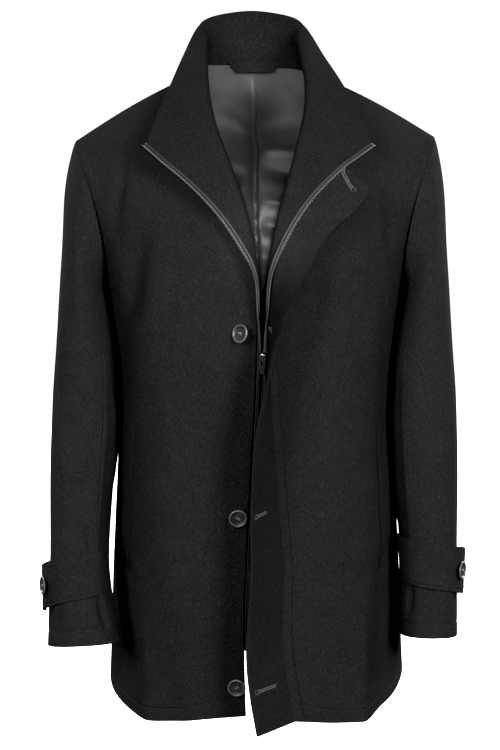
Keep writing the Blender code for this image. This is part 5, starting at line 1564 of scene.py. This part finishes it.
def button(name, seat, normal, spin):
    """A button that stands on its thread shank, turned by spin, and its thread."""
    normal = unit(normal)
    across = unit(np.cross(normal, (0.0, 0.0, 1.0)))
    top = math.cos(spin) * np.cross(across, normal) - math.sin(spin) * across
    right = np.cross(top, normal)
    base = seat + BUTTON_SHANK * normal

    def to_place(points):
        return base + points[:, :1] * right + points[:, 1:2] * top + points[:, 2:] * normal

    made = piece(name, to_place(button_points), button_faces, resin)
    made.data.set_sharp_from_angle(angle=math.radians(42))
    # the rim's faces take the lighter resin: painted highlight
    made.data.materials.append(rim_highlight)
    for polygon, rim in zip(made.data.polygons, on_rim):
        polygon.material_index = int(rim)
    h = HOLE_OUT * math.sqrt(0.5)
    slack = h - THREAD_SLACK
    starts = np.repeat([(-h, -h, THREAD_HIGH), (h, -h, THREAD_HIGH), (-slack, -h, THREAD_HIGH)], 2, axis=0)
    stops = np.repeat([(-h, h, THREAD_HIGH), (h, h, THREAD_HIGH), (slack, h, THREAD_HIGH)], 2, axis=0)
    beside = np.array([THREAD_APART * right, -THREAD_APART * right] * 3)
    over = np.tile(normal, (len(starts), 1))
    starts = to_place(starts) + beside
    strands(f"{name}_thread", starts, to_place(stops) + beside, over, 0.00060, button_thread, lift=1.2)
    strands(f"{name}_shank", [seat], [base + 0.0006 * normal], [right], 0.0016, dark_thread, lift=0.0)
    return made


def on_front(side, level, distance):
    """A point of a front this far from its edge, and the outward normal there."""
    row = np.interp(level, fine_levels, np.arange(len(fine_levels)))
    columns = np.arange(fronts[side].shape[1], dtype=float)
    path = on_grid(fronts[side], np.full(len(columns), row), columns)[::-1]
    above = on_grid(fronts[side], np.full(len(columns), row + 1), columns)[::-1]
    point, beyond = spaced(path, 2, distance, distance + 0.002)
    return point, side * unit(np.cross(spaced(above, 1, distance)[0] - point, point - beyond))


Fixed = namedtuple("Fixed", "name height edge spin lean")
FRONT_BUTTONS = [
    Fixed("button_1", -0.1100, 0.021, 0.3, (0.0, 0.0)),
    Fixed("button_2", -0.3140, 0.0195, 0.1, (-0.85, 0.25)),
    Fixed("button_3", -0.5600, 0.014, 0.5, (0.05, -0.10)),
    Fixed("button_4", -0.7980, 0.011, -0.3, (-0.10, -0.05)),
]
for fixed in FRONT_BUTTONS:
    seat, normal = on_front(-1, level_of(fixed.height), fixed.edge)
    lean = np.array([fixed.lean[0], 0.0, fixed.lean[1]])
    off = BUTTON_OFF + BUTTON_LEANS * np.linalg.norm(lean)
    made = button(f"{fixed.name}_resin", seat + off * normal, normal + lean, fixed.spin)
    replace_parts(made, fixed.name)
for side, word in SIDES:
    coarse = strap_grid(side, 4, 11)
    normal = unit(outward(coarse, side < 0)[1:3, -4].mean(axis=0))
    seat = coarse[1:3, -4].mean(axis=0) + (STRAP_TOP + BUTTON_OFF - STRAP_BUTTON_IN) * normal
    lean = np.array([STRAP_BUTTON_LEAN * side, 0.0, 0.0])
    name = f"strap_button_{word}"
    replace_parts(button(f"{name}_resin", seat, normal + lean, 0.2 * side), name)

# Sliders and pulls
# Two steel sliders on the zip, each a bevelled plate with a loop, and a slotted pull tab hung on each loop.
# They keep the shapes of their solids, with the edges a little rounded.
for node in ("slider_upper", "pull_upper", "slider_lower", "pull_lower"):
    metal_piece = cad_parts[node]
    metal_piece.data.materials.clear()
    metal_piece.data.materials.append(steel)
    rounded(metal_piece, 0.00025, 2)

# Studio
# A plain pale sweep under and behind the coat, soft light from panels at both sides, over the camera and
# behind, a narrow beam into the neck, and the camera level with the neck, looking slightly down.
FLOOR = -1.10
COVE_OUT = 7.0
COVE_ROUND = 2.0
COVE_TOP = 6.0
PALE = (0.86, 0.86, 0.86, 1.0)
AIM = (0.0, 0.0, -0.42)
BEAM_FROM = (0.0, -2.7, 0.0)
BEAM_TO = (0.0, 0.05, -0.20)

profile = [(0.0, FLOOR)]
for turn in np.linspace(0.0, math.pi / 2, 16):
    out = COVE_OUT - COVE_ROUND * (1 - math.sin(turn))
    profile.append((out, FLOOR + COVE_ROUND * (1 - math.cos(turn))))
profile += [(COVE_OUT, COVE_TOP), (0.0, COVE_TOP)]
paper, tree = new_material("pale_paper")
feed(tree, tree.nodes["Principled BSDF"], {
    "Base Color": PALE,
    "Roughness": 0.9,
    "Emission Color": PALE,
    "Emission Strength": 1.15,
})
studio = turned("studio_cove", profile, 64, paper)
studio.visible_diffuse = False
studio.visible_glossy = False

Panel = namedtuple("Panel", "name place wide tall watts")
PANELS = [
    Panel("right_panel", (1.40, -2.2, 0.60), 0.8, 1.1, 97.0),
    Panel("left_panel", (-1.40, -2.2, 0.60), 0.8, 1.1, 66.0),
    Panel("front_panel", (0.0, -2.8, 0.20), 0.8, 0.6, 40.0),
    Panel("back_panel", (0.0, 2.8, 0.6), 1.6, 1.4, 90.0),
    Panel("right_back_panel", (2.2, 1.3, 0.6), 0.9, 1.2, 95.0),
    Panel("left_back_panel", (-2.2, 1.3, 0.6), 0.9, 1.2, 80.0),
]


def lamp(name, kind, place, aim, watts):
    """A light at a place, turned towards an aim."""
    light = bpy.data.lights.new(name, kind)
    light.energy = watts
    made = bpy.data.objects.new(name, light)
    made.location = place
    made.rotation_euler = (Vector(aim) - Vector(place)).to_track_quat("-Z", "Y").to_euler()
    bpy.context.scene.collection.objects.link(made)
    return made


for panel in PANELS:
    made = lamp(panel.name, "AREA", panel.place, AIM, panel.watts)
    made.data.shape = "RECTANGLE"
    made.data.size = panel.wide
    made.data.size_y = panel.tall
    made.visible_camera = False

beam = lamp("lining_beam", "SPOT", BEAM_FROM, BEAM_TO, 240.0).data
beam.spot_size = math.radians(3.2)
beam.spot_blend = 1.0
beam.shadow_soft_size = 0.04

world = bpy.data.worlds.new("studio_air")
world.use_nodes = True
world.node_tree.nodes["Background"].inputs["Color"].default_value = (1.0, 1.0, 1.0, 1.0)
world.node_tree.nodes["Background"].inputs["Strength"].default_value = 0.006
bpy.context.scene.world = world
tones = bpy.context.scene.view_settings
tones.view_transform = "Standard"
tones.gamma = 0.86
tones.use_curve_mapping = True
tones.curve_mapping.black_level = (0.014, 0.014, 0.014)
tones.curve_mapping.update()

lens = bpy.data.cameras.new("camera")
lens.sensor_fit = "VERTICAL"
lens.sensor_height = 36.0
lens.lens = 1531 / 750 * 36.0
camera = bpy.data.objects.new("camera", lens)
camera.location = (-0.006, -2.1, 0.0)
camera.rotation_euler = (math.radians(90 - 10.7), 0.0, 0.0)
bpy.context.scene.collection.objects.link(camera)
bpy.context.scene.camera = camera
